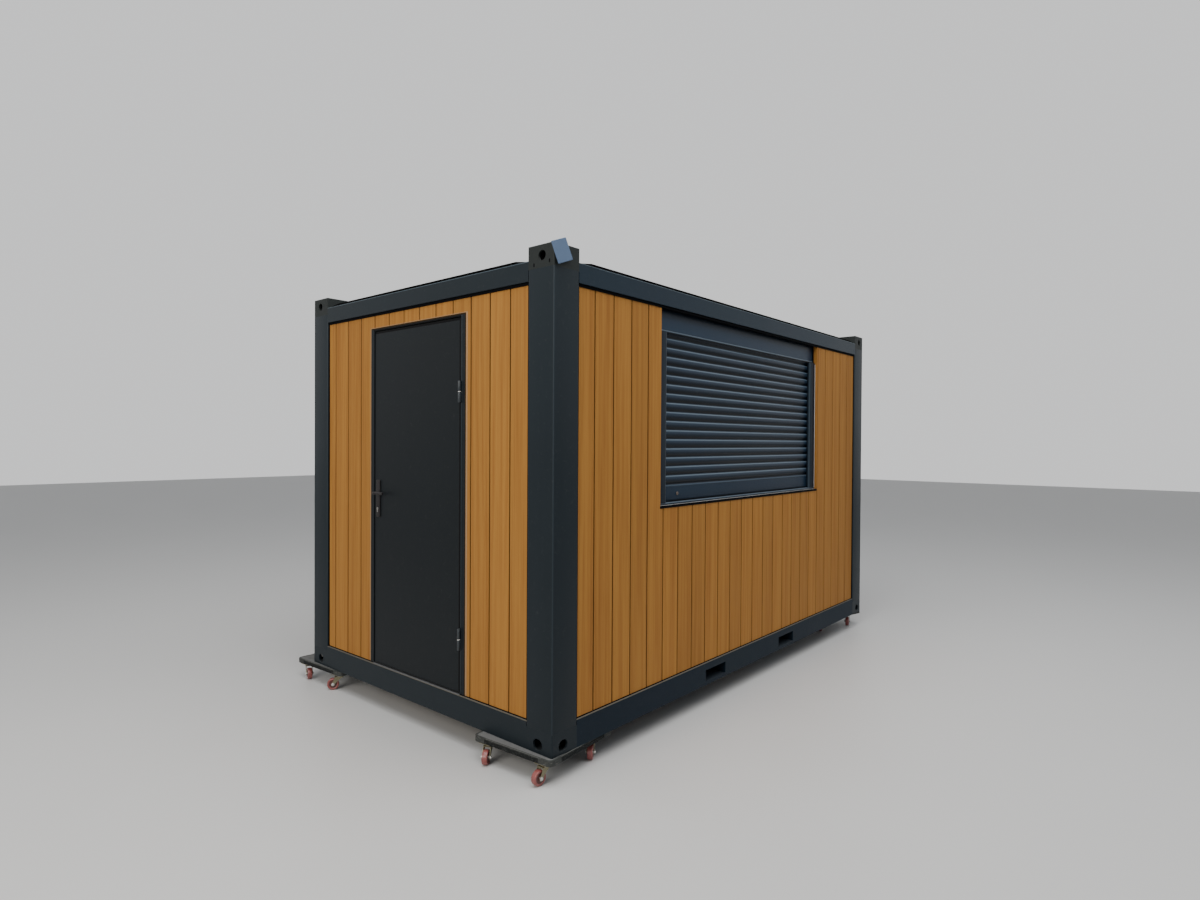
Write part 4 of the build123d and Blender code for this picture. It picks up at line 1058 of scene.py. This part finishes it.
class CONTAINER_OT_shutter(bpy.types.Operator):
    """Makes the slats, bottom bar, guides, box and sill of the roller shutter"""
    bl_idname = "container.shutter"
    bl_label = "Roller shutter"

    def execute(self, context):
        sizes = context.scene.container_shutter
        self.slats(sizes)
        self.bottom_bar()
        self.guides(sizes)
        self.box(sizes)
        self.sill()
        self.lock()
        return {"FINISHED"}

    def slats(self, sizes):
        """Each slat's outline is a crown over a narrow hooked joint, carried straight along the shutter. The
        crown's depth is bulge * (1 - sin(pi * s) to the power 0.9), with s from 0.05 to 0.95 up its height.
        It has painted shade at the foot and a painted highlight in a narrow band under its top."""
        low, high = node_box("shutter_curtain")
        count = round((high[2] - low[2]) / sizes.pitch)
        pitch = (high[2] - low[2]) / count
        hook, inner = low[1] + sizes.bulge + 0.0006, high[1] - 0.0005
        surface = Surface()
        t = np.linspace(0, 1, 15)
        crown_height = sizes.joint + t * (pitch - sizes.joint)
        crown_depth = low[1] + sizes.bulge * (1 - np.sin(math.pi * (0.05 + 0.9 * t)) ** 0.9)
        hook_height = np.array((0.0, 0.0015, sizes.joint - 0.0015))
        outline = np.stack((np.concatenate(([hook] * 3, crown_depth, (hook + 0.0006, inner, inner))),
                            np.concatenate((hook_height, crown_height, (pitch, pitch, 0.0)))), -1)
        # Painted shade at each slat's foot and a painted highlight just under its top.
        shade_and_highlight = 1.25 * np.clip(1.15 - t / 0.75, 0, 1) - 9.0 * np.exp(-((t - 0.89) / 0.055) ** 2)
        dark = np.concatenate((np.ones(3), shade_and_highlight, (0.9, 1, 1)))
        for i in range(count):
            surface.grid(lengthwise(outline, low + UP * i * pitch, high), tone=i / count, dark=dark)
        surface.build("shutter_slats", "container", "shutter_paint", "shutter", ("shutter_curtain",), 0.7)

    def bottom_bar(self):
        """The bottom bar: a flat extrusion with a raised top edge and a shallow groove, an outline carried
        straight along X, and a rubber foot, a bar under it."""
        low, high = node_box("shutter_bottom_bar")
        y0, y1, h = low[1], high[1], high[2] - low[2]
        outline = [(y0 + 0.0035, 0.008), (y0 + 0.0025, 0.010), (y0 + 0.0025, 0.020), (y0 + 0.0035, 0.0215),
                   (y0 + 0.0035, 0.0225), (y0 + 0.0022, 0.024), (y0 + 0.0022, h - 0.016),
                   (y0 + 0.0008, h - 0.0135), (y0, h - 0.011), (y0, h - 0.006), (y0 + 0.0008, h - 0.0035),
                   (y0 + 0.003, h - 0.0015), (y0 + 0.007, h), (y1, h), (y1, 0.008)]
        # Painted highlight on the raised top edge, painted shade at the foot and in the groove.
        dark = (1, 0.8, 0.3, 0.2, 0.8, 0.4, 0.3, 0.1, -1.6, -2.2, -1.2, 0.6, 1, 1, 1)
        surface = Surface().grid(lengthwise(outline, low, high), dark=dark)
        surface.build("bottom_bar", "container", "shutter_paint", "shutter", ("shutter_bottom_bar",), 0.5)
        foot = Surface().bar((low[0], y0 + 0.004, low[2]), (high[0], y1 - 0.002, low[2] + 0.0085), 0, 0.002)
        foot.build("bottom_bar_rubber", "container", "shutter_paint", "rubber")

    def guides(self, sizes):
        """Each guide is a channel, carried upright: a folded face with a stepped lip beside the curtain,
        and a brush strip in the slot."""
        curtain_low, curtain_high = node_box("shutter_curtain")
        slack, depth, fold, brush_sheet = 0.0025, 0.036, 0.0015, 0.002
        front, back = curtain_low[1] - slack, curtain_high[1] + slack
        # Painted shade at the outer fold, a small groove and inside the slot, painted highlight on the
        # stepped lip beside the curtain.
        dark = (0.9, 0.6, 0.3, 0.9, 0.9, 0.3, 0.2, 0.1, -2.5, -3.0, 1, 1, 1, 1, 1, 1)
        surface, brushes = Surface(), Surface()
        for points in solids("shutter_guides"):
            low, high = extent(points)
            sign, outer = (1.0, low[0]) if low[0] < 0 else (-1.0, high[0])
            width, y, rear = high[0] - low[0], low[1], high[1] - 0.001
            outline = [(0.0, y + fold), (fold, y), (0.010, y), (0.0115, y + fold), (0.0125, y + fold),
                       (0.014, y), (width - 0.014, y), (width - 0.008, y + fold), (width - fold, y + 0.004),
                       (width, y + 0.006), (width, front), (width - depth, front), (width - depth, back),
                       (width, back), (width, rear), (0.0, rear)]
            places = ((outer, 0, low[2]), (outer, 0, high[2]))
            surface.grid(carried(outline, places, (sign, 0, 0), ALONG_Y), dark=dark)
            a, b = (outer + sign * (width - 0.002 - reach) for reach in (0.0, sizes.brush))
            brushes.bar((a, front, low[2]), (b, front + brush_sheet, high[2]), 2, 0.0006)
        surface.build("guide_channels", "container", "shutter_paint", "guide", ("shutter_guides",), 0.5)
        brushes.build("guide_brushes", "container", "shutter_paint", "brush")

    def box(self, sizes):
        """The box: a folded cover with a proud rounded lip under it, an outline carried straight along X,
        with a thin bar as each end cap and turned rivets."""
        low, high = node_box("shutter_box")
        lip, cap, inset, y, tall = sizes.lip, 0.0025, 0.0005, low[1], high[2] - low[2]
        face = y + 0.0035
        outline = [(y + 0.001, 0.001), (y, 0.003), (y, lip - 0.008), (y, lip - 0.006),
                   (y + 0.0004, lip - 0.001), (face, lip + 0.0012), (face, lip + 0.007), (face, tall * 0.55),
                   (face, tall * 0.8), (face, tall), (high[1], tall), (high[1], 0.0), (y + 0.004, 0.0)]
        # Painted shade at the lip's foot and under the rail at the top, painted highlight on the lip.
        dark = (1.3, 1.3, 1.0, -4.6, -5.4, 0.3, 0.0, 0.0, 0.9, 1.3, 1, 1, 1)
        surface = Surface().grid(lengthwise(outline, low, high, 0.002), dark=dark)
        for x in (low[0], high[0] - cap):
            surface.bar((x, y + inset, low[2] + inset), (x + cap, *high[1:]), 0, 0.001)
        surface.build("shutter_box_cover", "container", "shutter_paint", "shutter", ("shutter_box",), 0.5)
        rivets, margin = Surface(), 0.03
        rivet = [(0.0032, 0.0), (0.0032, 0.0004), (0.0024, 0.0011), (0.0009, 0.0015)]
        for x in np.linspace(low[0] + margin, high[0] - margin, 6):
            for z in (low[2] + lip + 0.014, high[2] - margin):
                rivets.grid(turned(rivet, (x, face, z), (0, -1, 0), 14))
        rivets.build("box_rivets", "container", "shutter_paint", "shutter")

    def sill(self):
        """The sill: a folded sheet whose top slopes out to a rounded nose with a drip edge, an outline
        carried straight along X."""
        low, high = node_box("shutter_sill")
        y, h = low[1], high[2] - low[2]
        outline = [(y + 0.004, 0.0), (y + 0.0012, 0.0008), (y, 0.0028), (y, h - 0.0045),
                   (y + 0.0012, h - 0.0022), (y + 0.004, h - 0.001), (high[1], h), (high[1], 0.0)]
        # Painted highlight on the rounded nose, painted shade on the front face and underside.
        dark = (1, 1, 0.9, 0.7, -4.5, -4, -1, 0.5)
        surface = Surface().grid(lengthwise(outline, low, high), dark=dark)
        surface.build("sill_sheet", "container", "shutter_paint", "shutter", ("shutter_sill",), 0.5)

    def lock(self):
        """The round lock in the bottom bar: a turned rosette with a key slot."""
        low, high = node_box("shutter_lock")
        back, depth = high[1], high[1] - low[1]
        x, z, floor = (low[0] + high[0]) / 2, (low[2] + high[2]) / 2, depth * 0.6
        ring = Surface().grid(turned([(0.011, 0.0), (0.011, depth * 0.5), (0.0098, depth), (0.0072, depth),
                                      (0.0068, floor), (0.0005, floor)], (x, back, z), (0, -1, 0), 32))
        ring.build("shutter_lock_rosette", "container", "cylinder_metal", "dull", ("shutter_lock",))
        # The key slot is a black bar on the rosette's floor: painted shade in the slot.
        slot = Surface().bar((x - 0.0008, back - floor - 0.0003, z - 0.004),
                             (x + 0.0008, back - floor, z + 0.004), 1, 0.0006)
        slot.build("shutter_key_slot", "container", "cylinder_metal", "rubber")


# Cover plate

class CONTAINER_OT_cover(bpy.types.Operator):
    """Rounds and paints the plate that hangs before the upper casting"""
    bl_idname = "container.cover"
    bl_label = "Cover plate"

    def execute(self, context):
        """The plate is a rounded rectangle at four depths, smaller at the first and the last, and the pin is
        a turned rod."""
        points = solids("corner_cover_plate")[0]
        origin, side, rise, out, half = fit_plate(points)
        inset, edge = np.array(((0.002,), (0.0,), (0.0,), (0.002,))), 0.0015
        loop = rounded_loop(half[0] - inset, half[1] - inset, 0.004 - inset)
        depth = np.array((-half[2], -half[2] + edge, half[2] - edge, half[2]))
        surface = Surface()
        surface.grid(origin + loop[..., :1] * side + loop[..., 1:] * rise + depth[:, None, None] * out)
        low, high = extent(points[points[:, 1] > points[:, 1].max() - 0.0005])
        centre = ((low[0] + high[0]) / 2, high[1], (low[2] + high[2]) / 2)
        surface.grid(turned([(0.008, -0.0002), (0.008, 0.0085)], centre, (0, -1, 0), 20))
        surface.build("hanging_cover_plate", "container", "cover_paint", "cover", ("corner_cover_plate",))
        return {"FINISHED"}


def fit_plate(points):
    """The middle, the three directions and the half sizes of a flat plate. Its corners are the eight points
    that lie furthest from the middle in X and Z. The top less the left one is the first direction, the
    top less the right one, made square to it, the second, and their cross product the third."""
    middle = points.mean(0)
    far = points[np.argsort(-np.linalg.norm((points - middle)[:, (0, 2)], axis=1))][:8]
    origin = (far.min(0) + far.max(0)) / 2
    top = far[far[:, 2].argsort()][-2:].mean(0)
    right = far[far[:, 0].argsort()][-2:].mean(0)
    left = far[far[:, 0].argsort()][:2].mean(0)
    side = top - left
    side /= np.linalg.norm(side)
    rise = top - right
    rise -= side * (rise @ side)
    rise /= np.linalg.norm(rise)
    out = np.cross(side, rise)
    local = (far - origin) @ np.stack((side, rise, out), -1)
    return origin, side, rise, out, (local.max(0) - local.min(0)) / 2


# Dollies

CORNERS = ((-1, -1), (-1, 1), (1, -1), (1, 1))


def board_axes(points):
    """The middle, the half sizes and the two level directions of a turned board: of the boxes drawn round
    its points at every twentieth of a degree, the one with the smallest area."""
    turn = np.radians(np.arange(-44.0, 44.0, 0.05))
    side = np.stack((np.cos(turn), np.sin(turn)), -1)
    across = np.stack((-np.sin(turn), np.cos(turn)), -1)
    reach = np.stack((points[:, :2] @ side.T, points[:, :2] @ across.T))
    low, high = reach.min(1), reach.max(1)
    best = np.argmin(np.prod(high - low, axis=0))
    centre = (low + high)[:, best] / 2
    half = (high - low)[:, best] / 2
    middle = centre[0] * side[best] + centre[1] * across[best]
    return np.append(middle, 0.0), half, np.append(side[best], 0.0), np.append(across[best], 0.0)


def placed(points, middle, side, across):
    """Points of a piece's own frame, turned into the container's: the middle plus each value along its
    direction."""
    return middle + points[..., :1] * side + points[..., 1:2] * across + points[..., 2:] * UP


def caster_places():
    """Each caster's swivel point on the floor, its forward direction, trail, axle height and top, read from
    the packed forks and axles, and the directions of the board above it."""
    axles = [points.mean(0) for points in solids("caster_axles")]
    boards = [board_axes(points) for points in solids("dolly_boards")]
    places = []
    for points in solids("caster_forks"):
        plate = points[points[:, 2] > points[:, 2].max() - 0.0005]
        pin = (plate.min(0) + plate.max(0)) / 2
        low, high = extent(points)
        axle = min(axles, key=lambda a: np.linalg.norm(a[:2] - ((low + high) / 2)[:2]))
        board = min(boards, key=lambda b: np.linalg.norm(b[0][:2] - pin[:2]))
        ahead = (axle - pin) * (1, 1, 0)
        trail = np.linalg.norm(ahead)
        places.append((pin * (1, 1, 0), ahead / trail, trail, axle[2], high[2], board[2:]))
    return places


class CONTAINER_OT_dollies(bpy.types.Operator):
    """Makes the dolly boards with their rims and corner brackets"""
    bl_idname = "container.dollies"
    bl_label = "Dolly boards"

    def execute(self, context):
        """Each board is a flat bar, turned as its solid is, with a rim round it and a bracket at each
        corner."""
        sizes = context.scene.container_dollies
        tops, rims, brackets = Surface(), Surface(), Surface()
        for points in solids("dolly_boards"):
            bottom, top = points[:, 2].min(), points[:, 2].max()
            middle, half, side, across = board_axes(points)
            reach = np.append(half - sizes.rim, 0.0)
            core = bar(-reach + UP * (bottom + 0.002), reach + UP * top, 2, 0.022, 0.0012)
            tops.grid(placed(core, middle, side, across))
            rim, dark = self.rim(half, bottom, top, sizes.rim)
            rims.grid(placed(rim, middle, side, across), ring=True, dark=dark)
            for corner in CORNERS:
                sheet = self.bracket(half, corner, bottom, top, sizes.bracket)
                brackets.grid(placed(sheet, middle, side, across))
        tops.build("dolly_board_tops", "container", "dolly_board", "board_top", ("dolly_boards",))
        rims.build("dolly_rims", "container", "dolly_board", "rim", smooth=0.5)
        brackets.build("dolly_corner_brackets", "container", "dolly_board", "bracket")
        return {"FINISHED"}

    def rim(self, half, bottom, top, thickness):
        """A rubber rim: a profile with three round ridges carried round the board's outline, and how dark
        its points are: painted highlights, paler on the ridges' crests and along the upper edge."""
        inset, crest = 0.0015, 0.0016
        loop = rounded_loop(half[0] - inset, half[1] - inset, 0.028, 8)
        ahead = np.roll(loop, -1, 0) - np.roll(loop, 1, 0)
        ahead /= np.linalg.norm(ahead, axis=1)[:, None]
        out = np.stack((ahead[:, 1], -ahead[:, 0], np.zeros(len(loop))), -1)
        t = np.linspace(0, 1, 25)
        ridge = crest * np.abs(np.sin(3 * math.pi * t)) ** 0.6
        outer = np.stack((ridge - crest, bottom + t * (top - bottom)), -1)
        profile = np.concatenate((outer, [(-thickness, top), (-thickness, bottom)]))
        # Painted highlights on the ridges' crests and along the upper edge.
        dark = np.concatenate((0.9 - 2.4 * (ridge / crest) ** 6 * t - 4.5 * (t > 0.95), (0.5, 0.5)))
        places = np.concatenate((loop, np.zeros((len(loop), 1))), 1)
        return carried(profile, places, out, UP), dark

    def bracket(self, half, corner, bottom, top, reach):
        """A thin sheet bracket round one corner: straight along one edge, round the corner's arc, and
        straight along the other edge."""
        radius, sheet, lap, fold = 0.030, 0.0018, 0.0005, -0.012
        sign = np.array(corner)
        centre = sign * (half - radius)
        turn = np.linspace(0, math.pi / 2, 9)
        arc = np.stack((np.cos(turn), np.sin(turn)), -1)
        path = np.concatenate(([(1, -reach / radius)], arc, [(-reach / radius, 1)])) * radius
        normal = np.concatenate(([(1, 0)], arc, [(0, 1)]))
        places = np.concatenate((centre + path * sign, np.zeros((len(path), 1))), 1)
        out = np.concatenate((normal * sign, np.zeros((len(path), 1))), 1)
        foot, under, over = bottom + 0.001, top - lap, top + lap
        profile = [(-sheet, foot), (0, foot), (0, top), (-lap, over), (fold, over), (fold, under),
                   (-sheet, under)]
        return carried(profile, places, out, UP)


FORK_DROP, FORK_INSIDE, FORK_SHEET = 0.016, 0.019, 0.003


class CONTAINER_OT_casters(bpy.types.Operator):
    """Makes the swivel casters with forks, wheels, axles and bolts"""
    bl_idname = "container.casters"
    bl_label = "Casters"

    def execute(self, context):
        """Each profile lists (radius, height) for turned(), from the plate's top downwards or from the
        wheel's middle outwards."""
        sizes = context.scene.container_dollies
        half, core = sizes.plate / 2, sizes.core + 0.0005
        reach = half - sizes.bolt
        swivel = [(0.0255, -0.0035), (0.0275, -0.006), (0.0275, -0.0085), (0.0245, -0.0095),
                  (0.0245, -0.0110), (0.0265, -0.012), (0.0265, -0.0150), (0.0235, -0.0165)]
        head = [(0.0062, -0.0035), (0.0062, -0.0082), (0.005, -0.0092)]
        hub = [(0.0125, -0.013), (0.0225, -0.0112), (core, -0.0135), (core, 0.0135), (0.0225, 0.0112),
               (0.0125, 0.013)]
        pipe = [(0.0085, -0.0188), (0.0085, 0.0188)]
        washer = [(0.0105, 0.0218), (0.0105, 0.0232), (0.0088, 0.0236)]
        nut = [(0.0078, 0.0234), (0.0078, 0.0278), (0.0066, 0.0285), (0.0042, 0.0285), (0.0038, 0.0278)]
        metal, treads, cores, bolts = Surface(), Surface(), Surface(), Surface()
        for pin, ahead, trail, radius, top, board in caster_places():
            across = np.cross(UP, ahead)

            def put(points):
                """Turns points from the caster's own frame, forward, left and up, into the container's."""
                return placed(points, pin, ahead, across)

            plate = bar((-half, -half, top - 0.004), (half, half, top), 2, 0.008, 0.0008)
            metal.grid(placed(plate, pin, *board))
            metal.grid(put(turned(swivel, (0, 0, top), UP)))
            for sign in (-1, 1):
                metal.grid(put(self.leg(sign, trail, radius, top)))
            metal.grid(put(self.crown(top)))
            for a, b in CORNERS:
                bolts.grid(placed(turned(head, (a * reach, b * reach, top), UP, 6), pin, *board))
            axle = (trail, 0, radius)
            treads.grid(put(turned(tread_outline(radius, sizes.core), axle, ALONG_Y, 48)), ring=True)
            cores.grid(put(turned(hub, axle, ALONG_Y, 36)))
            bolts.grid(put(turned(pipe, axle, ALONG_Y, 24)))
            for sign in (-1, 1):
                bolts.grid(put(turned(washer, axle, (0, sign, 0), 24)))
                bolts.grid(put(turned(nut, axle, (0, sign, 0), 6)))
        metal.build("caster_plates_and_forks", "container", "zinc_plate", "zinc", ("caster_forks",))
        treads.build("caster_treads", "container", "wheel_tread", "tread", ("caster_wheels",))
        cores.build("caster_cores", "container", "wheel_tread", "core")
        bolts.build("caster_axle_nuts_and_bolts", "container", "zinc_plate", "steel_bolts",
                    ("caster_axles",))
        return {"FINISHED"}

    def leg(self, sign, trail, radius, top):
        """A fork leg: an outline that narrows from the crown to a round end under the axle, pushed out to
        the sheet's thickness."""
        crown, back, front, end = top - FORK_DROP, 0.024, 0.034, 0.0125
        turn = np.linspace(0, -math.pi, 11)
        round_end = np.stack((trail + end * np.cos(turn), radius + end * np.sin(turn)), -1)
        t = np.linspace(0, 1, 7)
        narrow = trail - end
        rear = np.stack((narrow - (back + narrow) * t ** 1.3, radius + (crown - radius) * t), -1)[1:]
        fore = np.stack((front + (trail + end - front) * t ** 1.5, crown + (radius - crown) * t), -1)[:-1]
        outline = np.concatenate((round_end, rear, fore))
        start = FORK_INSIDE if sign > 0 else -FORK_INSIDE - FORK_SHEET
        return prism(outline, (0, start, 0), ALONG_X, UP, ALONG_Y, FORK_SHEET, 0.0006)

    def crown(self, top):
        """The fork's crown: a strip whose outline across is a flat bridge with rounded shoulders that turn
        down into the legs."""
        level, half, bend, back, wide = top - FORK_DROP, FORK_INSIDE + FORK_SHEET, 0.006, 0.024, 0.058
        turn = np.linspace(0, math.pi / 2, 6)
        corner, arc = (half - bend, level - bend), np.stack((np.cos(turn), np.sin(turn)), -1)
        outer, inner = corner + bend * arc, corner + (bend - FORK_SHEET) * arc
        mirror = (-1, 1)
        outline = np.concatenate((outer, outer[::-1] * mirror, inner * mirror, inner[::-1]))
        return prism(outline, (-back, 0, 0), ALONG_Y, UP, ALONG_X, wide)


def tread_outline(radius, core):
    """A tread's closed (radius, width) outline: a slightly crowned face, round shoulders and a recessed
    side wall down to the core."""
    half_face, crown, bend, side = 0.0105, 0.0006, 0.005, 0.0052
    t = np.linspace(-1, 1, 9)
    face = np.stack((radius - crown * t ** 2, half_face * t), -1)
    turn = np.linspace(0, math.pi / 2, 6)[1:]
    shoulder = np.stack((radius - crown - bend + bend * np.cos(turn), half_face + side * np.sin(turn)), -1)
    wall = np.array(((core + 0.002, 0.0148), (core, 0.0138)))
    upper = np.concatenate((shoulder, wall))
    return np.concatenate((face, upper, (upper * (1, -1))[::-1]))


# Stage. Each lamp has its name, place, target, two sides, share of the lamp power, and colour.

LAMPS = (
    ("overhead_lamp", (-2.0, -2.5, 7.5), (0.2, -0.2, 0.0), (9.0, 6.0), 1.0, (1.0, 1.0, 1.0)),
    ("door_end_lamp", (-9.0, -1.5, 4.2), (-1.5, 0.2, 1.2), (5.0, 4.0), 0.46, (1.0, 0.95, 0.87)),
    ("shutter_side_lamp", (3.5, -9.0, 4.5), (0.4, -0.6, 1.2), (6.0, 4.0), 0.055, (0.8, 0.9, 1.0)),
)
CAMERA_PLACE, CAMERA_AHEAD = (-4.641, -3.672, 1.737), (0.7611, 0.6486)
CAMERA_PITCH, CAMERA_ROLL = -0.01142, 0.00582


class CONTAINER_OT_stage(bpy.types.Operator):
    """Sets the floor, the light and the camera at the photograph's angle"""
    bl_idname = "container.stage"
    bl_label = "Floor, light and camera"

    def execute(self, context):
        scene = context.scene
        stage = scene.container_stage
        self.floor(stage.reach)
        self.world(scene, stage.sky)
        for name, place, target, sides, share, tint in LAMPS:
            self.lamp(name, place, target, sides, stage.lamp * share, tint)
        self.camera(scene, stage.lens)
        return {"FINISHED"}

    def floor(self, reach):
        """A flat pale floor: one square face with its middle at the origin."""
        mesh = bpy.data.meshes.new("studio_floor")
        corners = [(a * reach, b * reach, 0) for a, b in ((-1, -1), (1, -1), (1, 1), (-1, 1))]
        mesh.from_pydata(corners, [], [(0, 1, 2, 3)])
        finish = Finish("pale_floor")
        clouds = finish.noise(0.9, detail=5)
        finish.done(finish.shade((0.6, 0.6, 0.595), 0.97 + 0.06 * clouds), 0.42 + 0.12 * clouds)
        mesh.materials.append(finish.material)
        floor = bpy.data.objects.new("studio_floor", mesh)
        bpy.context.collection.objects.link(floor)

    def world(self, scene, strength):
        """Even light from all round, with a pale background behind the object and in its reflections."""
        world = bpy.data.worlds.new("studio_world")
        world.use_nodes = True
        scene.world = world
        tree = world.node_tree
        light = tree.nodes["Background"]
        light.inputs["Color"].default_value = (0.93, 0.96, 1.0, 1.0)
        light.inputs["Strength"].default_value = strength
        pale = add_node(tree, "Background", Color=(0.86, 0.865, 0.87))
        rays = add_node(tree, "LightPath").outputs
        seen = Value(tree, rays["Is Camera Ray"]) + Value(tree, rays["Is Glossy Ray"])
        seen = (seen + Value(tree, rays["Is Transmission Ray"])).op("MINIMUM", 1.0)
        mix = add_node(tree, "MixShader", {}, seen, light.outputs[0], pale.outputs[0])
        tree.links.new(mix.outputs[0], tree.nodes["World Output"].inputs["Surface"])

    def lamp(self, name, place, target, sides, power, tint):
        """A large soft lamp that faces a point."""
        data = bpy.data.lights.new(name, "AREA")
        data.shape = "RECTANGLE"
        data.size, data.size_y = sides
        data.energy = power
        data.color = tint
        lamp = bpy.data.objects.new(name, data)
        lamp.matrix_world = facing(place, np.subtract(target, place))
        bpy.context.collection.objects.link(lamp)

    def camera(self, scene, lens):
        """The camera where the photograph was taken from."""
        data = bpy.data.cameras.new("photo_camera")
        data.sensor_width, data.lens = 36.0, lens
        data.clip_end = 200.0
        camera = bpy.data.objects.new("photo_camera", data)
        ahead = (*np.multiply(CAMERA_AHEAD, math.cos(CAMERA_PITCH)), math.sin(CAMERA_PITCH))
        camera.matrix_world = facing(CAMERA_PLACE, ahead, CAMERA_ROLL)
        bpy.context.collection.objects.link(camera)
        scene.camera = camera


def facing(place, ahead, roll=0.0):
    """A matrix at a place that looks along a direction with Z up, turned by roll about that direction."""
    ahead = Vector([float(v) for v in ahead]).normalized()
    turn = ahead.to_track_quat("-Z", "Y").to_matrix().to_4x4()
    return Matrix.Translation(Vector([float(v) for v in place])) @ turn @ Matrix.Rotation(roll, 4, "Z")


# Panel and running order

STEPS = (CONTAINER_OT_frame, CONTAINER_OT_boards, CONTAINER_OT_door, CONTAINER_OT_handle,
         CONTAINER_OT_shutter, CONTAINER_OT_cover, CONTAINER_OT_dollies, CONTAINER_OT_casters,
         CONTAINER_OT_stage)
GROUPS = {
    "container_boards": ContainerBoardSizes,
    "container_shutter": ContainerShutterSizes,
    "container_dollies": ContainerDollySizes,
    "container_colours": ContainerColours,
    "container_stage": ContainerStageSizes,
}


class CONTAINER_PT_panel(bpy.types.Panel):
    """Lists the container's sizes, colours and steps"""
    bl_label = "Kiosk office container"
    bl_space_type = "VIEW_3D"
    bl_region_type = "UI"
    bl_category = "Container"

    def draw(self, context):
        for key, group in GROUPS.items():
            box = self.layout.box()
            box.label(text=group.__doc__)
            for name in group.__annotations__:
                box.prop(getattr(context.scene, key), name)
        for step in STEPS:
            self.layout.operator(step.bl_idname)


def register():
    for group in (*GROUPS.values(), *STEPS, CONTAINER_PT_panel):
        bpy.utils.register_class(group)
    for key, group in GROUPS.items():
        setattr(bpy.types.Scene, key, PointerProperty(type=group))


def unregister():
    for key in GROUPS:
        delattr(bpy.types.Scene, key)
    for group in (CONTAINER_PT_panel, *STEPS[::-1], *list(GROUPS.values())[::-1]):
        bpy.utils.unregister_class(group)


def main():
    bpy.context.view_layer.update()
    register()
    finishes.update(make_finishes())
    for step in STEPS:
        area, action = step.bl_idname.split(".")
        getattr(getattr(bpy.ops, area), action)()


if __name__ == "__main__":
    main()
